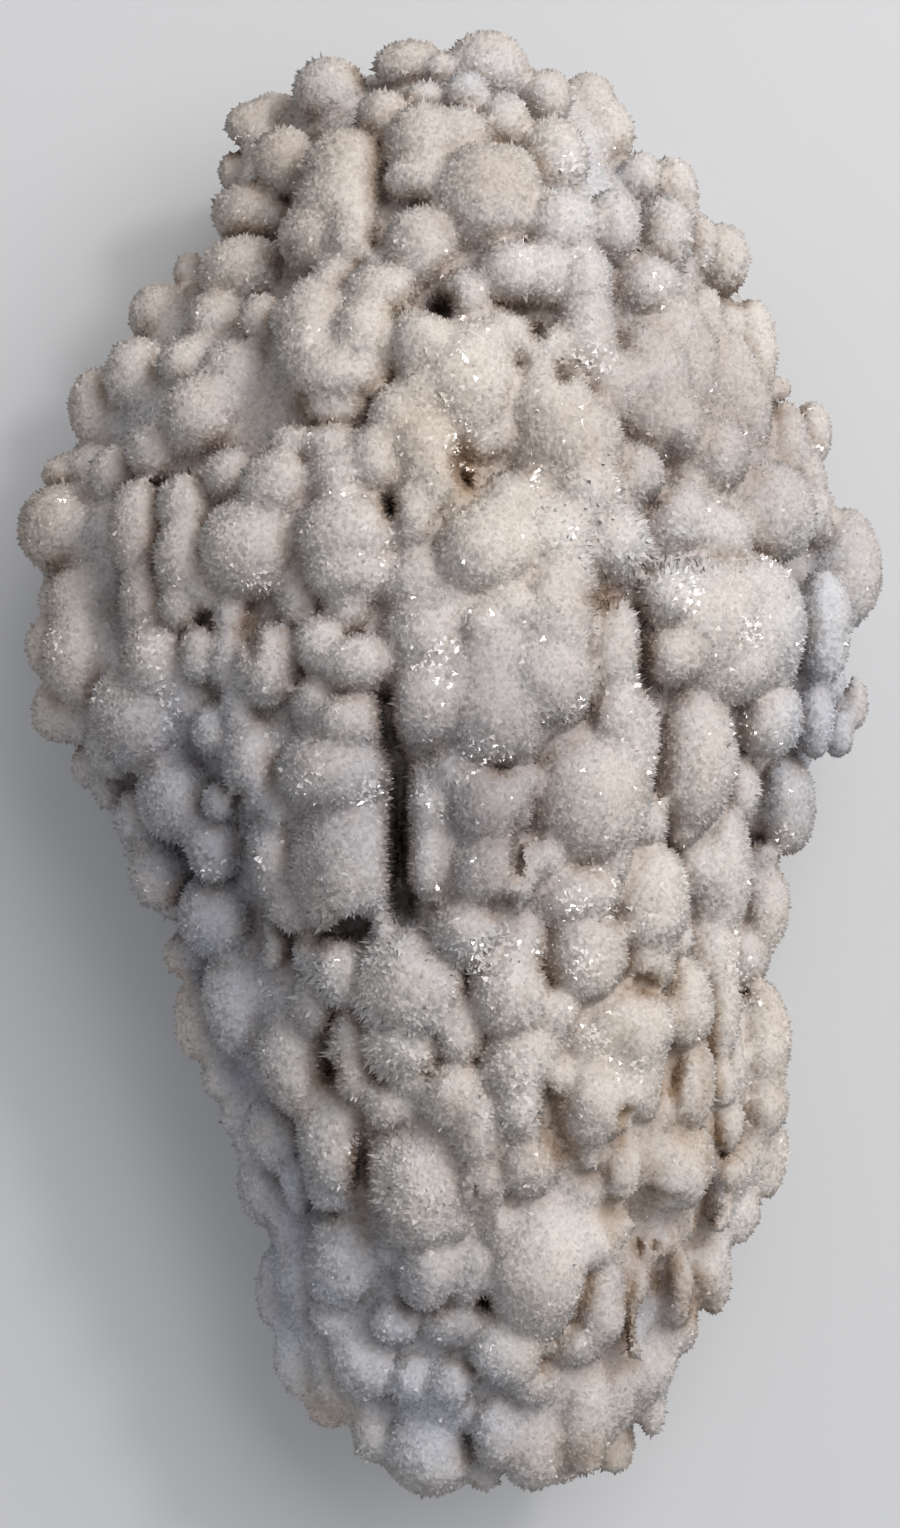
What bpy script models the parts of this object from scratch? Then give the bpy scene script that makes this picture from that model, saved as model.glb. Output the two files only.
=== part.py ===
"""Calcite specimen, cave popcorn habit: a crust of calcite knobs that grew together on a cave wall, broken off,
its back cut flat. It lies on the cut. One grown piece, so one solid. Lengths here are millimetres until the end.

The knobs are placed by eye, as seen from straight above the middle of the specimen. Right is +X, the broad end
is +Y, up is +Z.
"""

import math
import random

import bmesh
import bpy
import numpy as np

# Driving dimensions
EYE = 340.0  # height over the rest face from which the knobs were read
READ_LEVEL = 22.0  # height at which the readings are true size; higher knobs look larger than they are
RIM = 17.0  # height of the widest level, where the crust turns under
SWELL = 6.0  # how far a swell falls from its middle to its edge
CRUST = 4.5  # how far the floor between the knobs lies under their tips
WORN = 3.2  # the same at the foot, where the relief is worn down
STEEP = 1.7  # on the steep sides the floor lies up to this many times as deep
BROAD = 0.7  # exponent of the cross-section: 0.5 is a half ellipse, 1 a parabola
UNDERCUT = 26.0  # depth of the half ellipse below the rim, which the flat cut shortens
INSET = 4.0  # how far the body under the rim stays inside the outline
EDGE = 3.0  # how far the body over the rim stays inside it
END = 68.5  # how far the body reaches along Y under the end knobs
STEM = 7.0  # length of the neck that joins a knob to the body
NECK = 0.85  # neck thickness as a share of the knob
BLEND = 0.7  # width of the fillet where two knobs meet
SMOOTH = 2.4  # the same on the right shoulder, whose knobs ran together
FULL = 1.2  # knobs overlap, so each is larger than the part of it that shows
OUTER = 1.08  # the same for the knobs on the outline
STEP = 0.9  # spacing of the sampling grid
TRIANGLES = 9400

# Outline and crest of the body: (y, left, right, height of the knob tips along the crest)
STATIONS = (
    (73, 2, 5.5, 24), (70.4, -11.5, 9, 30), (67.4, -16, 15.2, 35), (63.9, -21.7, 17.2, 38.5),
    (57.4, -22.8, 24, 43), (52.4, -24.5, 29.5, 45.5), (47.4, -28, 30, 47), (41.9, -33.8, 32.2, 48),
    (36.4, -38, 35.2, 49), (30.4, -39.5, 37.8, 50), (23.4, -43.2, 40, 51), (16.4, -42.5, 43, 51.5),
    (11.4, -42.8, 41, 52), (4.4, -41, 40.5, 51.5), (-2.6, -36.8, 36.2, 51), (-10.6, -33.2, 34, 50),
    (-18.6, -28.2, 33, 48.5), (-25.6, -27.2, 33.5, 47), (-33.6, -23.8, 34.2, 45), (-39.6, -21.8, 32.8, 43),
    (-46.6, -19.5, 29, 41), (-52.6, -18, 28, 39), (-57.6, -16.5, 24.5, 37), (-63.6, -14.2, 21.5, 34),
    (-67.6, -8.5, 18.2, 31), (-70.6, -4.5, 15, 27), (-73, -2, 11, 22),
)

# Swells, the broad masses that several knobs share: (x, y, half width across, half width along, depth of the top)
SWELLS = (
    (3.5, 12.6, 10.4, 13.8, 1), (26.8, 13.6, 8, 6.2, 1.6), (11.2, 30.9, 5.6, 9.5, 1.6), (-11.5, 54.9, 4.5, 8, 2.4),
    (1, 59.9, 7, 7.5, 3.6), (12.5, 53.9, 6.5, 8, 3.6), (22.5, 46.4, 7.5, 8, 3), (28.5, 32.4, 7, 11, 2.4),
    (-12.5, 41.4, 5.8, 7, 2.4), (-15, 24.4, 9, 7.5, 2.8), (-27, 35.4, 9, 10, 3.2), (-37, 22.4, 5.5, 9, 2.4),
    (-37.5, 10.4, 5.5, 8, 2.2), (-30, 6.4, 6, 8, 1.6), (-15, -2.6, 7, 8, 2.4), (-11, -9.6, 5.4, 7.5, 1.6),
    (2.6, -8.6, 5.4, 10, 2.2), (14, -2.6, 6, 8, 1.4), (19.5, -14.1, 4.2, 7, 1.8), (25, 0.4, 4, 8, 1.8),
    (27.5, -12.6, 3.5, 9, 1.8), (-19.5, -26.1, 8, 9, 1.8), (-4, -22.6, 5.2, 6.6, 1.8), (-2.5, -41.6, 5.6, 6.6, 1.4),
    (15.5, -29.6, 5.4, 10, 1.6), (-11, -38.6, 4, 7, 1.8), (9, -50.6, 5, 8, 1.6), (21.5, -40.6, 6, 7, 1.6),
    (-10, -52.6, 7, 8, 2), (-1.5, -65.8, 5.2, 5.6, 1.6), (11, -63.4, 7, 7.4, 1.6), (20, -57.6, 5, 9, 1.8),
    (31.5, -28.6, 4, 9, 1.8),
)

# Knobs: (x, y, half width across, half width along, how far the tip lies under the crest surface)
KNOBS = {
    "crown": (
        (-12, 67.2, 3.6, 3.4, 0), (-6.6, 64.8, 2.8, 2.7, 0.8), (-4.2, 69.8, 3.6, 2.6, 0.6),
        (-1.2, 69.4, 1.6, 2, 1.2), (-2.5, 66.6, 2.4, 2, 2.2), (3.8, 69, 4.2, 3.8, 0),
        (1.6, 66.7, 2.5, 2.7, 0.7), (5.3, 64.2, 2.7, 3, 0.3), (-2.5, 61.8, 3.4, 3.4, 0.3),
        (0.8, 62.6, 2.6, 2.8, 0.3), (-2.8, 58.2, 3.2, 2.2, 1.4), (3.5, 55.9, 4.8, 5, 0),
        (5.7, 59.2, 2.6, 2.4, 0.2), (-3, 51.4, 3.2, 3.6, 0.8), (6, 49, 2.9, 2.9, 1),
        (9.5, 66.6, 2.7, 2.9, 0.7), (13.8, 66.6, 2.8, 2.6, 0.2), (15.8, 63.2, 2.6, 3.4, 0.2),
        (10.2, 60.4, 3, 3.6, 0), (10.8, 53.8, 3.4, 3.2, 0), (16.2, 53.8, 2.4, 3, 0.4),
        (13, 48.2, 2.6, 3.2, 0.8), (9.5, 48.9, 2.2, 3, 2), (-19.8, 63.9, 2.8, 2.4, 1.2),
        (-17.2, 65.6, 2.6, 1.8, 1.4), (-21.4, 59.2, 2, 2.2, 2), (-16.4, 60.4, 3.2, 3.2, 0.5),
        (-10.5, 59.8, 3.4, 3.1, 0), (-10.7, 56, 3.6, 3.4, 0.3), (-13, 52.4, 3.4, 3.4, 0.2),
        (-9.8, 52.6, 2.2, 3.2, 0.8), (-11.5, 48.6, 2.2, 2, 2), (-19.8, 55, 4, 3.2, 0),
        (-20.6, 49.2, 3.8, 3, 0.3), (-7.4, 50.4, 1.4, 1.6, 3), (-7, 47, 3.2, 2.7, 0.8),
    ),
    "left shoulder": (
        (-26, 48.9, 2, 2.4, 1), (-28.8, 45, 3.3, 3.1, 0), (-31.2, 38.8, 3.3, 3.8, 0),
        (-26, 40, 2.8, 2.4, 1.5), (-24.5, 34.6, 3.6, 3.6, 0.3), (-29, 31.4, 2.8, 2.8, 1),
        (-35.3, 35.4, 2.8, 4, 0.8), (-33.3, 29, 2.4, 2.4, 1.6), (-38.4, 29, 2.6, 2.2, 1.2),
        (-38.7, 23.7, 4.5, 4.3, 0), (-18.8, 44.4, 2.2, 2.2, 1.5), (-20.5, 37.4, 4.2, 4.6, 4),
        (-21.8, 29, 2.5, 2.4, 1.2),
    ),
    "upper middle": (
        (-13.5, 44.6, 3.8, 3.2, 0), (-8.5, 42.6, 2.9, 3.6, 0.3), (-13.8, 41.2, 3, 3.4, 0.2),
        (-11, 38.8, 4.4, 2.8, 0.4), (-11.3, 35.4, 3.2, 1.8, 2.5), (-2.5, 41.9, 3.3, 3.6, 0.5),
        (1.2, 37.6, 4.8, 5.6, 0), (-2.6, 36.8, 2.6, 2.8, 0.9), (5, 42.6, 4.2, 2.7, 2),
        (9, 41.2, 2.4, 2.8, 1.5), (-15.5, 32.2, 2.4, 1.7, 1.5), (-12, 32, 2.6, 1.8, 1.5),
        (-7.2, 30, 2.8, 3.4, 1), (-5.4, 35, 2.4, 2.6, 0.8), (-2.8, 31.4, 3.2, 3.2, 0.6),
        (-1, 27.8, 3.4, 3, 0.5), (-3.5, 24.9, 2.6, 3.4, 0.9), (3, 32.4, 2, 2.2, 3),
        (5.2, 33.2, 1.6, 2.2, 3), (9.5, 36.2, 3.8, 3.4, 0.3), (11.5, 31.9, 4.8, 4.2, 0),
        (13.3, 27.2, 3.4, 3.8, 0), (18.5, 28.6, 2.4, 3, 1.2), (6, 26.4, 2.8, 2.4, 0.8),
    ),
    "right shoulder": (
        (19, 58.6, 2.4, 2.6, 1), (22.2, 57.4, 2.6, 3.2, 0), (21.5, 52.8, 2.6, 3.4, 0.6),
        (25, 51.9, 2, 3, 1.5), (27.2, 50.6, 2.9, 3.4, 0), (19.5, 47.4, 3, 2.8, 0.3),
        (21.5, 43.2, 3.4, 3.4, 0.8), (25.2, 44.6, 2.4, 3.4, 1), (13.5, 42.4, 2.8, 4.2, 1),
        (16, 37.4, 2.8, 3.4, 1.5), (19.5, 37.9, 3.8, 5.2, 0.8), (21, 33.9, 3.6, 3.4, 1.2),
        (24, 39.4, 2.8, 4.4, 1.2), (27.2, 37.9, 3, 4.6, 0.6), (30.2, 41.2, 2.6, 5, 0.4),
        (29.5, 35.4, 2.4, 3.8, 0.8), (26.8, 30.8, 2.8, 3.2, 0.2), (31, 25, 4.4, 4.4, 0.3),
        (33.2, 37.6, 1.4, 1.6, 0.8), (36.2, 33, 2, 3.4, 0.2), (33.4, 31.6, 2.4, 4.4, 0.6),
        (35.5, 28.6, 2.2, 2.8, 0.8), (16, 21.9, 3.4, 3.6, 1.5), (22, 24.4, 3.6, 3.8, 3),
        (26.5, 22.7, 3.2, 3, 2), (39.5, 19.6, 3.4, 5.8, 0), (37.2, 13.6, 2.8, 5.4, 0.4),
        (40.5, 6.2, 1.5, 3, 0.2), (36.5, 4.2, 2, 3.8, 0.6), (38.8, 2.9, 1.8, 2.6, 0.8),
    ),
    "middle": (
        (-16.8, 27.6, 3.4, 3.2, 0.6), (-19.4, 21.6, 4.4, 4.4, 0.3), (-10.8, 28.6, 3, 2.8, 1),
        (-10, 22.9, 4.5, 4, 0), (-9.8, 19.4, 4, 3, 0.6), (-10, 15.9, 2.2, 2.6, 2.2),
        (-15, 16.6, 2.2, 2.6, 3.2), (-18, 9.9, 3, 3.6, 1.5), (-9, 10, 3.2, 2.6, 1),
        (-12.8, 11.9, 2.4, 2.6, 1.8), (-13, 5.9, 2.6, 3, 2.2), (-3.2, 18.4, 3.4, 3.4, 1.8),
        (-2.4, 12.4, 3.6, 3.6, 1.2), (-2.2, 6.4, 4, 4.2, 0.7), (3.6, 21.2, 4.6, 4.6, -1),
        (9.5, 21.9, 4, 4.6, 0.2), (10, 15.4, 4, 6, 0), (9, 8.4, 4.4, 4.8, 0), (4, 4.9, 5, 5, 0.1),
        (3.2, 14, 2, 2, 0.6), (6.4, 16, 2, 2, 0.4), (16.2, 11.4, 2.7, 4.4, 0.8), (16.5, 5.2, 2.4, 3.6, 1),
        (24.5, 14.2, 5.4, 5.4, 0.2), (29.8, 13.6, 4.6, 6, 0), (26.5, 9.6, 4.8, 3.2, 0.4),
        (21.6, 16.6, 2.6, 2.6, 0.7), (21.8, 10.9, 2.7, 2.6, 0.6), (28.5, 17.2, 3, 2.6, 0.6),
    ),
    "left flank": (
        (-37, 16.4, 3.4, 3.4, 0.3), (-39.4, 11.9, 3, 3.4, 0.3), (-36.6, 10.9, 3.4, 4.4, 0.1),
        (-31.2, 23.4, 2.6, 4.2, 0.6), (-30.4, 16.4, 2.2, 3.2, 0.8), (-26.3, 25.9, 2.6, 2.8, 1.5),
        (-26.5, 20.4, 2.7, 3.4, 0.8), (-26.8, 15.9, 2, 2.4, 1.5), (-24.3, 17.4, 1.7, 2, 2.5),
        (-29.2, 10.2, 3.2, 3.6, 0.6), (-30.2, 5, 4.6, 4.8, 0), (-25, 10.9, 2, 2.6, 2),
        (-21.8, 14.9, 1.7, 2.8, 3), (-22.2, 10.4, 1.9, 2.6, 3), (-21, 5.6, 1.7, 2.6, 3),
        (-23.5, 3.6, 2.2, 2.4, 2.5), (-39, 5.2, 3, 3.2, 0), (-33.5, 1.6, 2.7, 3, 0.5),
        (-27, -3.1, 3.6, 4, 0), (-19.4, -0.1, 2.8, 4, 1), (-31, -5.1, 2.6, 3, 0.5),
        (-29, -10.8, 3.2, 3.8, 0), (-23.5, -7.9, 2.6, 3.2, 1.5), (-23, -15.1, 3.4, 3.8, 0.5),
        (-17.5, -9.1, 2.8, 3.8, 1), (-14.5, -14.1, 3.4, 2.6, 2), (-17.5, -17.9, 1.7, 2.7, 2),
    ),
    "belly columns": (
        (-11.5, -0.4, 4.8, 4, 0), (-10, 4.2, 3.3, 2.8, 0.5), (-10, -9.4, 4.9, 6.4, 0),
        (3.7, -3.9, 3.8, 4.2, 0.5), (4.2, -10.8, 3.8, 4.2, 0), (-2.2, -3.6, 2.4, 3.6, 2.5),
        (-2.2, -9.8, 2.4, 3.8, 2), (1.5, -16.4, 3.3, 3, 0.5), (13.2, -3.1, 5.6, 6, 0),
        (17.8, 1.9, 2.6, 5.4, 1), (12.1, -12.9, 4, 3, 1.5), (19.3, -13.6, 3.8, 5, 0),
        (19.5, -19.6, 2.6, 3.4, 1), (24, 0.7, 3.7, 6.2, 0), (31.6, 4.6, 3, 3.4, 0), (33.3, -3.9, 3, 5, 0),
        (29, -2.1, 1.8, 3, 1.5), (27.2, -10.4, 2.4, 5.8, 0.5), (31.5, -14.4, 2.6, 4.4, 0),
        (24, -9.8, 2.2, 2.8, 2.5), (13.2, -19.1, 3.6, 4.2, 0.5), (7, -17.6, 2.2, 2.8, 3),
        (26, -18.6, 2.8, 3.2, 1.5),
    ),
    "lower left": (
        (-13.8, -19.1, 1.8, 2.6, 2), (-13.5, -23.6, 2.1, 3.4, 1.5), (-3.8, -21.4, 4.8, 5, 0),
        (-4.5, -27.9, 3.4, 3.2, 1), (1.1, -26.6, 2.1, 3, 2), (-9.8, -28.4, 2.3, 4.2, 1.5),
        (-5.5, -33.8, 2.8, 2.4, 2), (0.5, -32.8, 2.9, 3.4, 1), (-26, -19.1, 2.7, 2.6, 1),
        (-25.4, -25.6, 2, 4.2, 0.5), (-20.6, -23.6, 3.6, 4.6, 0.5), (-15.5, -29.1, 3.2, 4.6, 0),
        (-22.4, -30.8, 2.7, 3.2, 1), (-21.2, -34.8, 2, 2.4, 1), (-17.4, -36.8, 3.3, 3.8, 0.5),
        (-11.2, -37.4, 3.1, 5, 0), (-11.3, -41.6, 2.8, 2.8, 1), (-2.8, -41.6, 5.3, 5.8, 0),
        (-18.7, -42.4, 2.4, 4, 0.5), (-15, -42.1, 2, 3.4, 2.5),
    ),
    "lower middle": (
        (5.8, -22.8, 3.3, 4, 0), (6.8, -29.4, 3.5, 3.4, 0.5), (7.2, -34.1, 2.8, 3.2, 1),
        (2.6, -35.8, 2.7, 4.4, 1), (7.5, -39.4, 2.8, 3.4, 1), (3, -41.1, 2.6, 3.4, 1),
        (16.2, -26.6, 5, 4.6, 0), (14.5, -33.1, 3.8, 5, 0), (23.3, -24.4, 2.5, 4.4, 0.5),
        (27.1, -23.6, 1.8, 5.6, 1), (31.3, -27.6, 2.7, 5.8, 0), (19.3, -29.8, 2.5, 5.2, 0.5),
        (23.8, -31.9, 2.5, 4.2, 0.5), (31.2, -34.1, 2.6, 3, 1), (21.8, -40.1, 4.2, 4.8, 0.5),
        (17, -39.6, 2.2, 3.6, 1), (27.8, -36.4, 2, 3, 2), (31.7, -39.4, 2, 4, 0.5),
        (27.8, -40.6, 2.1, 2.2, 1.5), (14, -42.1, 2.8, 2.8, 3), (24.2, -45.1, 3.8, 3.2, 1),
        (28.8, -44.8, 2.2, 3.2, 0.5),
    ),
    "foot": (
        (-10, -49.4, 4, 4.4, 0), (-17.8, -52.1, 1.8, 3.8, 1), (-14.7, -51.9, 2.2, 4.6, 0.5),
        (-2, -50.4, 3, 3.6, 0.5), (-5.2, -55.4, 2.5, 2.4, 1.5), (-8.2, -58.8, 3, 3.8, 1),
        (-15, -59.1, 2.2, 4.2, 0.5), (-11.5, -61.1, 1.7, 3.6, 1), (-12.2, -64.3, 2.1, 2, 1),
        (0.3, -61.6, 2.6, 2.4, 1.5), (-3.5, -61.1, 2.2, 2.4, 2), (-1.4, -67.6, 4.6, 5.4, 0),
        (-7.7, -65.4, 2.4, 3.8, 0.5), (5.8, -58.1, 3.6, 3.2, 0.5), (4.5, -66.1, 2.8, 4, 0.5),
        (8.8, -49.6, 4.2, 6.6, 0), (14.2, -46.8, 2.6, 3.2, 1), (14.9, -53.1, 2.6, 4.6, 0.5),
        (18.6, -54.1, 1.5, 4.8, 1), (13.3, -63.6, 2.7, 5.8, 0), (17.1, -61.6, 1.8, 4, 1),
        (20, -62.1, 1.7, 4.8, 0.5), (8, -67.6, 3.2, 4.6, 0), (7.8, -61.4, 2.1, 2.4, 1.5),
        (12.7, -57.1, 2.9, 2.8, 1), (16.2, -68.1, 2.4, 2.6, 1), (11, -70.1, 2.4, 2.2, 1),
        (22.2, -51.4, 2.6, 4.2, 1.5), (26.2, -51.9, 1.7, 3.4, 0.5), (22.6, -56.1, 2.4, 2.4, 1),
        (1, -55.6, 3.4, 2.6, 3), (20.5, -47.6, 2.8, 2.4, 2),
    ),
}

# Deep gaps between the knobs: (x, y, half width across, half width along, depth under the crest surface)
GAPS = (
    (-0.7, 46.6, 0.8, 1.2, 10), (-3, 46.4, 0.3, 0.6, 3.8), (8.8, 44.2, 0.6, 1.2, 7),
    (7, 46.1, 0.5, 0.3, 4.5), (11.3, 39.2, 0.3, 0.8, 3.8), (-16.5, 48.9, 0.5, 2.5, 6),
    (-7.5, 52.9, 0.3, 0.8, 4.1), (-15, 35.9, 0.3, 1.4, 4.5), (-6, 25.9, 0.5, 1, 7),
    (0.5, 30.2, 0.3, 0.9, 3.8), (1.6, 28.6, 0.3, 0.8, 4.5), (22.2, 30.2, 0.3, 1.9, 3.8),
    (20.5, 26.6, 0.7, 0.3, 4.5), (15.5, 16.6, 0.9, 0.5, 4.5), (19.7, 9.9, 0.3, 1.9, 3.8),
    (20.5, 7.4, 0.7, 0.5, 3.8), (11, 3.6, 1.4, 0.3, 2.2), (5, -0.4, 1.1, 0.3, 3), (-6.4, 6.9, 0.4, 1.2, 7),
    (-6.2, 2.9, 0.4, 1.4, 6), (-5.2, -7.6, 0.9, 7.8, 13), (-4.5, -14.1, 1.2, 1.7, 11),
    (-10.5, -16.8, 1.4, 1.1, 8), (-9, -16.1, 0.8, 0.8, 8), (6.8, -8.6, 0.3, 3.1, 3.8),
    (5, -14.4, 1.1, 0.7, 3.8), (-20, 13.9, 0.5, 2.4, 4.5), (-33.5, 12.4, 0.3, 2.1, 3),
    (0.7, 12.4, 1, 3, 2.2), (2, 16.6, 2.2, 0.7, 2.2), (3.6, -54.6, 0.6, 0.7, 9), (-21, -4.1, 0.3, 1.4, 3.8),
    (-20.5, -11.6, 0.3, 1.8, 3), (-19.4, -16.6, 0.3, 1.9, 3.8), (-12, -31.4, 0.5, 0.8, 4.5),
    (9.5, -35.6, 0.3, 2.1, 3.4), (12, -39.1, 1.1, 0.5, 3), (19.5, -22.1, 0.8, 0.9, 3),
    (-8.8, -41.6, 0.3, 4.2, 3.4), (-7.2, -46.1, 0.5, 0.6, 3.4), (3.5, -48.6, 0.5, 3.8, 3),
    (-5.5, -59.8, 0.3, 0.6, 3.8), (9.5, -60.6, 0.5, 0.9, 3), (26.5, -43.6, 0.9, 1.6, 3.5),
    (24.7, -54.1, 0.7, 1.6, 2.2), (19.8, -49.4, 0.3, 1.1, 3), (20, -56.1, 0.5, 1.8, 2.2),
    (17.5, -48.6, 0.6, 1.4, 2.2), (17, -66.8, 0.8, 0.8, 2.2), (13, -69.8, 0.3, 0.5, 2.2),
    (2, -67.6, 0.3, 3, 3), (23, -36.8, 0.3, 0.8, 2.6), (18, -35.1, 0.5, 0.5, 2.2),
    (28.2, -29.6, 0.3, 0.9, 2.2), (29, 2.9, 0.3, 0.9, 2.6),
)


def station(y):
    """(left, right, crest height) of the body at y."""
    table = np.array(STATIONS)[::-1]
    return [np.interp(y, table[:, 0], table[:, column]) for column in (1, 2, 3)]


def crest(x, y):
    """Height of the surface that the knob tips reach at (x, y)."""
    left, right, top = station(y)
    u = np.minimum(np.abs(2 * (x - left) / (right - left) - 1), 1)
    return RIM + (top - RIM) * (1 - u * u) ** BROAD


def true_place(x, y, z):
    """A reading made at height z, moved to where it really is, with the share by which it shrinks."""
    share = (EYE - z) / (EYE - READ_LEVEL)
    return np.array((x * share, y * share, z)), share


def body_lumps():
    """Overlapping half ellipses along the body under the rim, each as (centre, radii)."""
    lumps = []
    for y, left, right, _ in STATIONS:
        if abs(y) > END - 11:
            continue
        middle, half = (left + right) / 2, (right - left) / 2 - INSET
        place, share = true_place(middle, y, RIM)
        lumps.append((place, np.array((half * share, 11, UNDERCUT))))
    return lumps


def upper_body(points):
    """Distance to the body over the rim, whose top follows the crest a little under the knob tips."""
    share = (EYE - points[..., 2]) / (EYE - READ_LEVEL)
    seen_x, seen_y = points[..., 0] / share, points[..., 1] / share
    left, right, _ = station(seen_y)
    sides = np.maximum(np.maximum(left - seen_x, seen_x - right), np.abs(seen_y) - 71.5) + EDGE
    slope = (crest(seen_x + 1, seen_y) - crest(seen_x - 1, seen_y)) / 2
    deep = np.interp(seen_y, (-45, 5), (WORN, CRUST)) * np.minimum(np.sqrt(1 + slope * slope), STEEP)
    top = (points[..., 2] - crest(seen_x, seen_y) + deep) * 0.7
    return np.maximum(np.maximum(top, sides), RIM - 3 - points[..., 2])


def inward(x, y, place):
    """Direction from a knob to the middle of the body."""
    left, right, _ = station(y)
    inner = np.array(((left + right) / 2, max(-58, min(52, y)) * 0.92, RIM - 4))
    return (inner - place) / np.linalg.norm(inner - place)


def small_knobs():
    """Small knobs that fill the room left between the read ones, a little lower than they are."""
    rng = random.Random(5)
    rows = [row for group in KNOBS.values() for row in group]
    taken = np.array([row[:4] for row in rows])
    gaps = np.array([row[:4] for row in GAPS])
    found = []
    spots = [(x, y) for y in np.arange(-71, 71, 2.3) for x in np.arange(-43, 43, 2.3)]
    rng.shuffle(spots)
    for x, y in spots:
        x, y = x + rng.uniform(-0.9, 0.9), y + rng.uniform(-0.9, 0.9)
        left, right, _ = station(y)
        room = np.linalg.norm((taken[:, :2] - (x, y)) / taken[:, 2:], axis=1) - 1
        room = (room * taken[:, 2:].min(axis=1)).min()
        hole = (np.linalg.norm((gaps[:, :2] - (x, y)) / (gaps[:, 2:] + 0.8), axis=1)).min()
        if room < (1.1 if y > 0 else 0.35) or hole < 1 or min(x - left, right - x) < 1.6:
            continue
        size = min(3, 1.5 + room * rng.uniform(0.6, 1))
        found.append((x, y, size * rng.uniform(0.85, 1.1), size * rng.uniform(0.9, 1.3), rng.uniform(1.4, 2.8)))
        taken = np.vstack([taken, found[-1][:4]])
    return found


def knobs_above():
    """Each knob seen from above, as (centre, radii, end of its neck)."""
    found = []
    rows = [row for group in KNOBS.values() for row in group] + small_knobs()
    for x, y, across, along, drop in rows:
        blend = SMOOTH if (x, y, across, along, drop) in KNOBS["right shoulder"] else BLEND
        outer = x < station(y)[0] + 6 or x > station(y)[1] - 6 or abs(y) > 64
        across, along = np.array((across, along)) * (OUTER if outer else FULL)
        up = min((3 * min(across, along) + max(across, along)) / 4, 1.15 * min(across, along))
        place, share = true_place(x, y, crest(x, y) - up - drop)
        radii = (across * share, along * share, up)
        found.append((place, radii, place + inward(x, y, place) * (STEM + min(radii)), blend))
    return found


def knobs_below():
    """The crust on the undercut, which no view from above shows: rows of knobs under the rim."""
    rng = random.Random(11)
    left_side = [(row[1], row[0]) for row in STATIONS[::-1]]
    right_side = [(row[2], row[0]) for row in STATIONS]
    ring = np.array(left_side + right_side + left_side[:1], float)
    along = np.concatenate([[0], np.cumsum(np.linalg.norm(np.diff(ring, axis=0), axis=1))])
    found = []
    for row, (level, inset, radius) in enumerate(((20, 0.6, 4.2), (13.6, 0.2, 4.6), (7.6, 1.4, 4.4), (2, 3.2, 4.2), (-2.4, 5.4, 3.8))):
        count = int(along[-1] / (1.6 * radius))
        for i in range(count):
            at = (i + row / 2 + rng.uniform(-0.22, 0.22)) * along[-1] / count % along[-1]
            x, y = (float(np.interp(at, along, ring[:, k])) for k in (0, 1))
            ahead = (at + 4) % along[-1]
            behind = (at - 4) % along[-1]
            dx, dy = (float(np.interp(ahead, along, ring[:, k]) - np.interp(behind, along, ring[:, k])) for k in (0, 1))
            length = math.hypot(dx, dy)
            size = radius * rng.uniform(0.74, 1.2)
            deep = inset + size
            place = np.array((x + dy / length * deep, y - dx / length * deep, level + rng.uniform(-1.4, 1.4)))
            radii = (size * rng.uniform(0.85, 1.1), size * rng.uniform(0.85, 1.1), size * rng.uniform(0.85, 1.15))
            end = place + np.array((dy / length, -dx / length, 0.15)) * (STEM + size)
            found.append((place, radii, end, BLEND))
    return found


def ellipsoid(points, centre, radii):
    """Distance to an ellipsoid's surface, near enough close to it."""
    p = points - centre
    k0 = np.linalg.norm(p / radii, axis=-1)
    k1 = np.linalg.norm(p / np.square(radii), axis=-1)
    return k0 * (k0 - 1) / np.maximum(k1, 1e-6)


def neck(points, a, b, radius):
    """Distance to a round bar from a to b."""
    ab = b - a
    t = np.clip((points - a) @ ab / (ab @ ab), 0, 1)
    return np.linalg.norm(points - a - t[..., None] * ab, axis=-1) - radius


class Field:
    """Signed distance on a grid, negative inside, changed only round each shape that is added or cut."""

    def __init__(self, low, high, step):
        self.low, self.step = np.array(low, float), step
        self.shape = tuple(int(math.ceil((h - l) / step)) + 1 for l, h in zip(low, high))
        self.values = np.full(self.shape, 8.0)

    def block(self, low, high):
        start = [max(0, int((l - o) / self.step)) for l, o in zip(low, self.low)]
        stop = [min(n, int((h - o) / self.step) + 2) for h, o, n in zip(high, self.low, self.shape)]
        axes = [o + self.step * np.arange(a, b) for o, a, b in zip(self.low, start, stop)]
        points = np.stack(np.meshgrid(*axes, indexing="ij"), axis=-1)
        return tuple(slice(a, b) for a, b in zip(start, stop)), points

    def add(self, low, high, distance, blend):
        where, points = self.block(np.array(low) - 3 - blend, np.array(high) + 3 + blend)
        near, old = distance(points), self.values[where]
        h = np.maximum(blend - np.abs(old - near), 0) / blend
        self.values[where] = np.minimum(old, near) - h * h * blend / 4

    def cut(self, low, high, distance, blend):
        where, points = self.block(np.array(low) - 3, np.array(high) + 3)
        near, old = -distance(points), self.values[where]
        h = np.maximum(blend - np.abs(old - near), 0) / blend
        self.values[where] = np.maximum(old, near) + h * h * blend / 4


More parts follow.
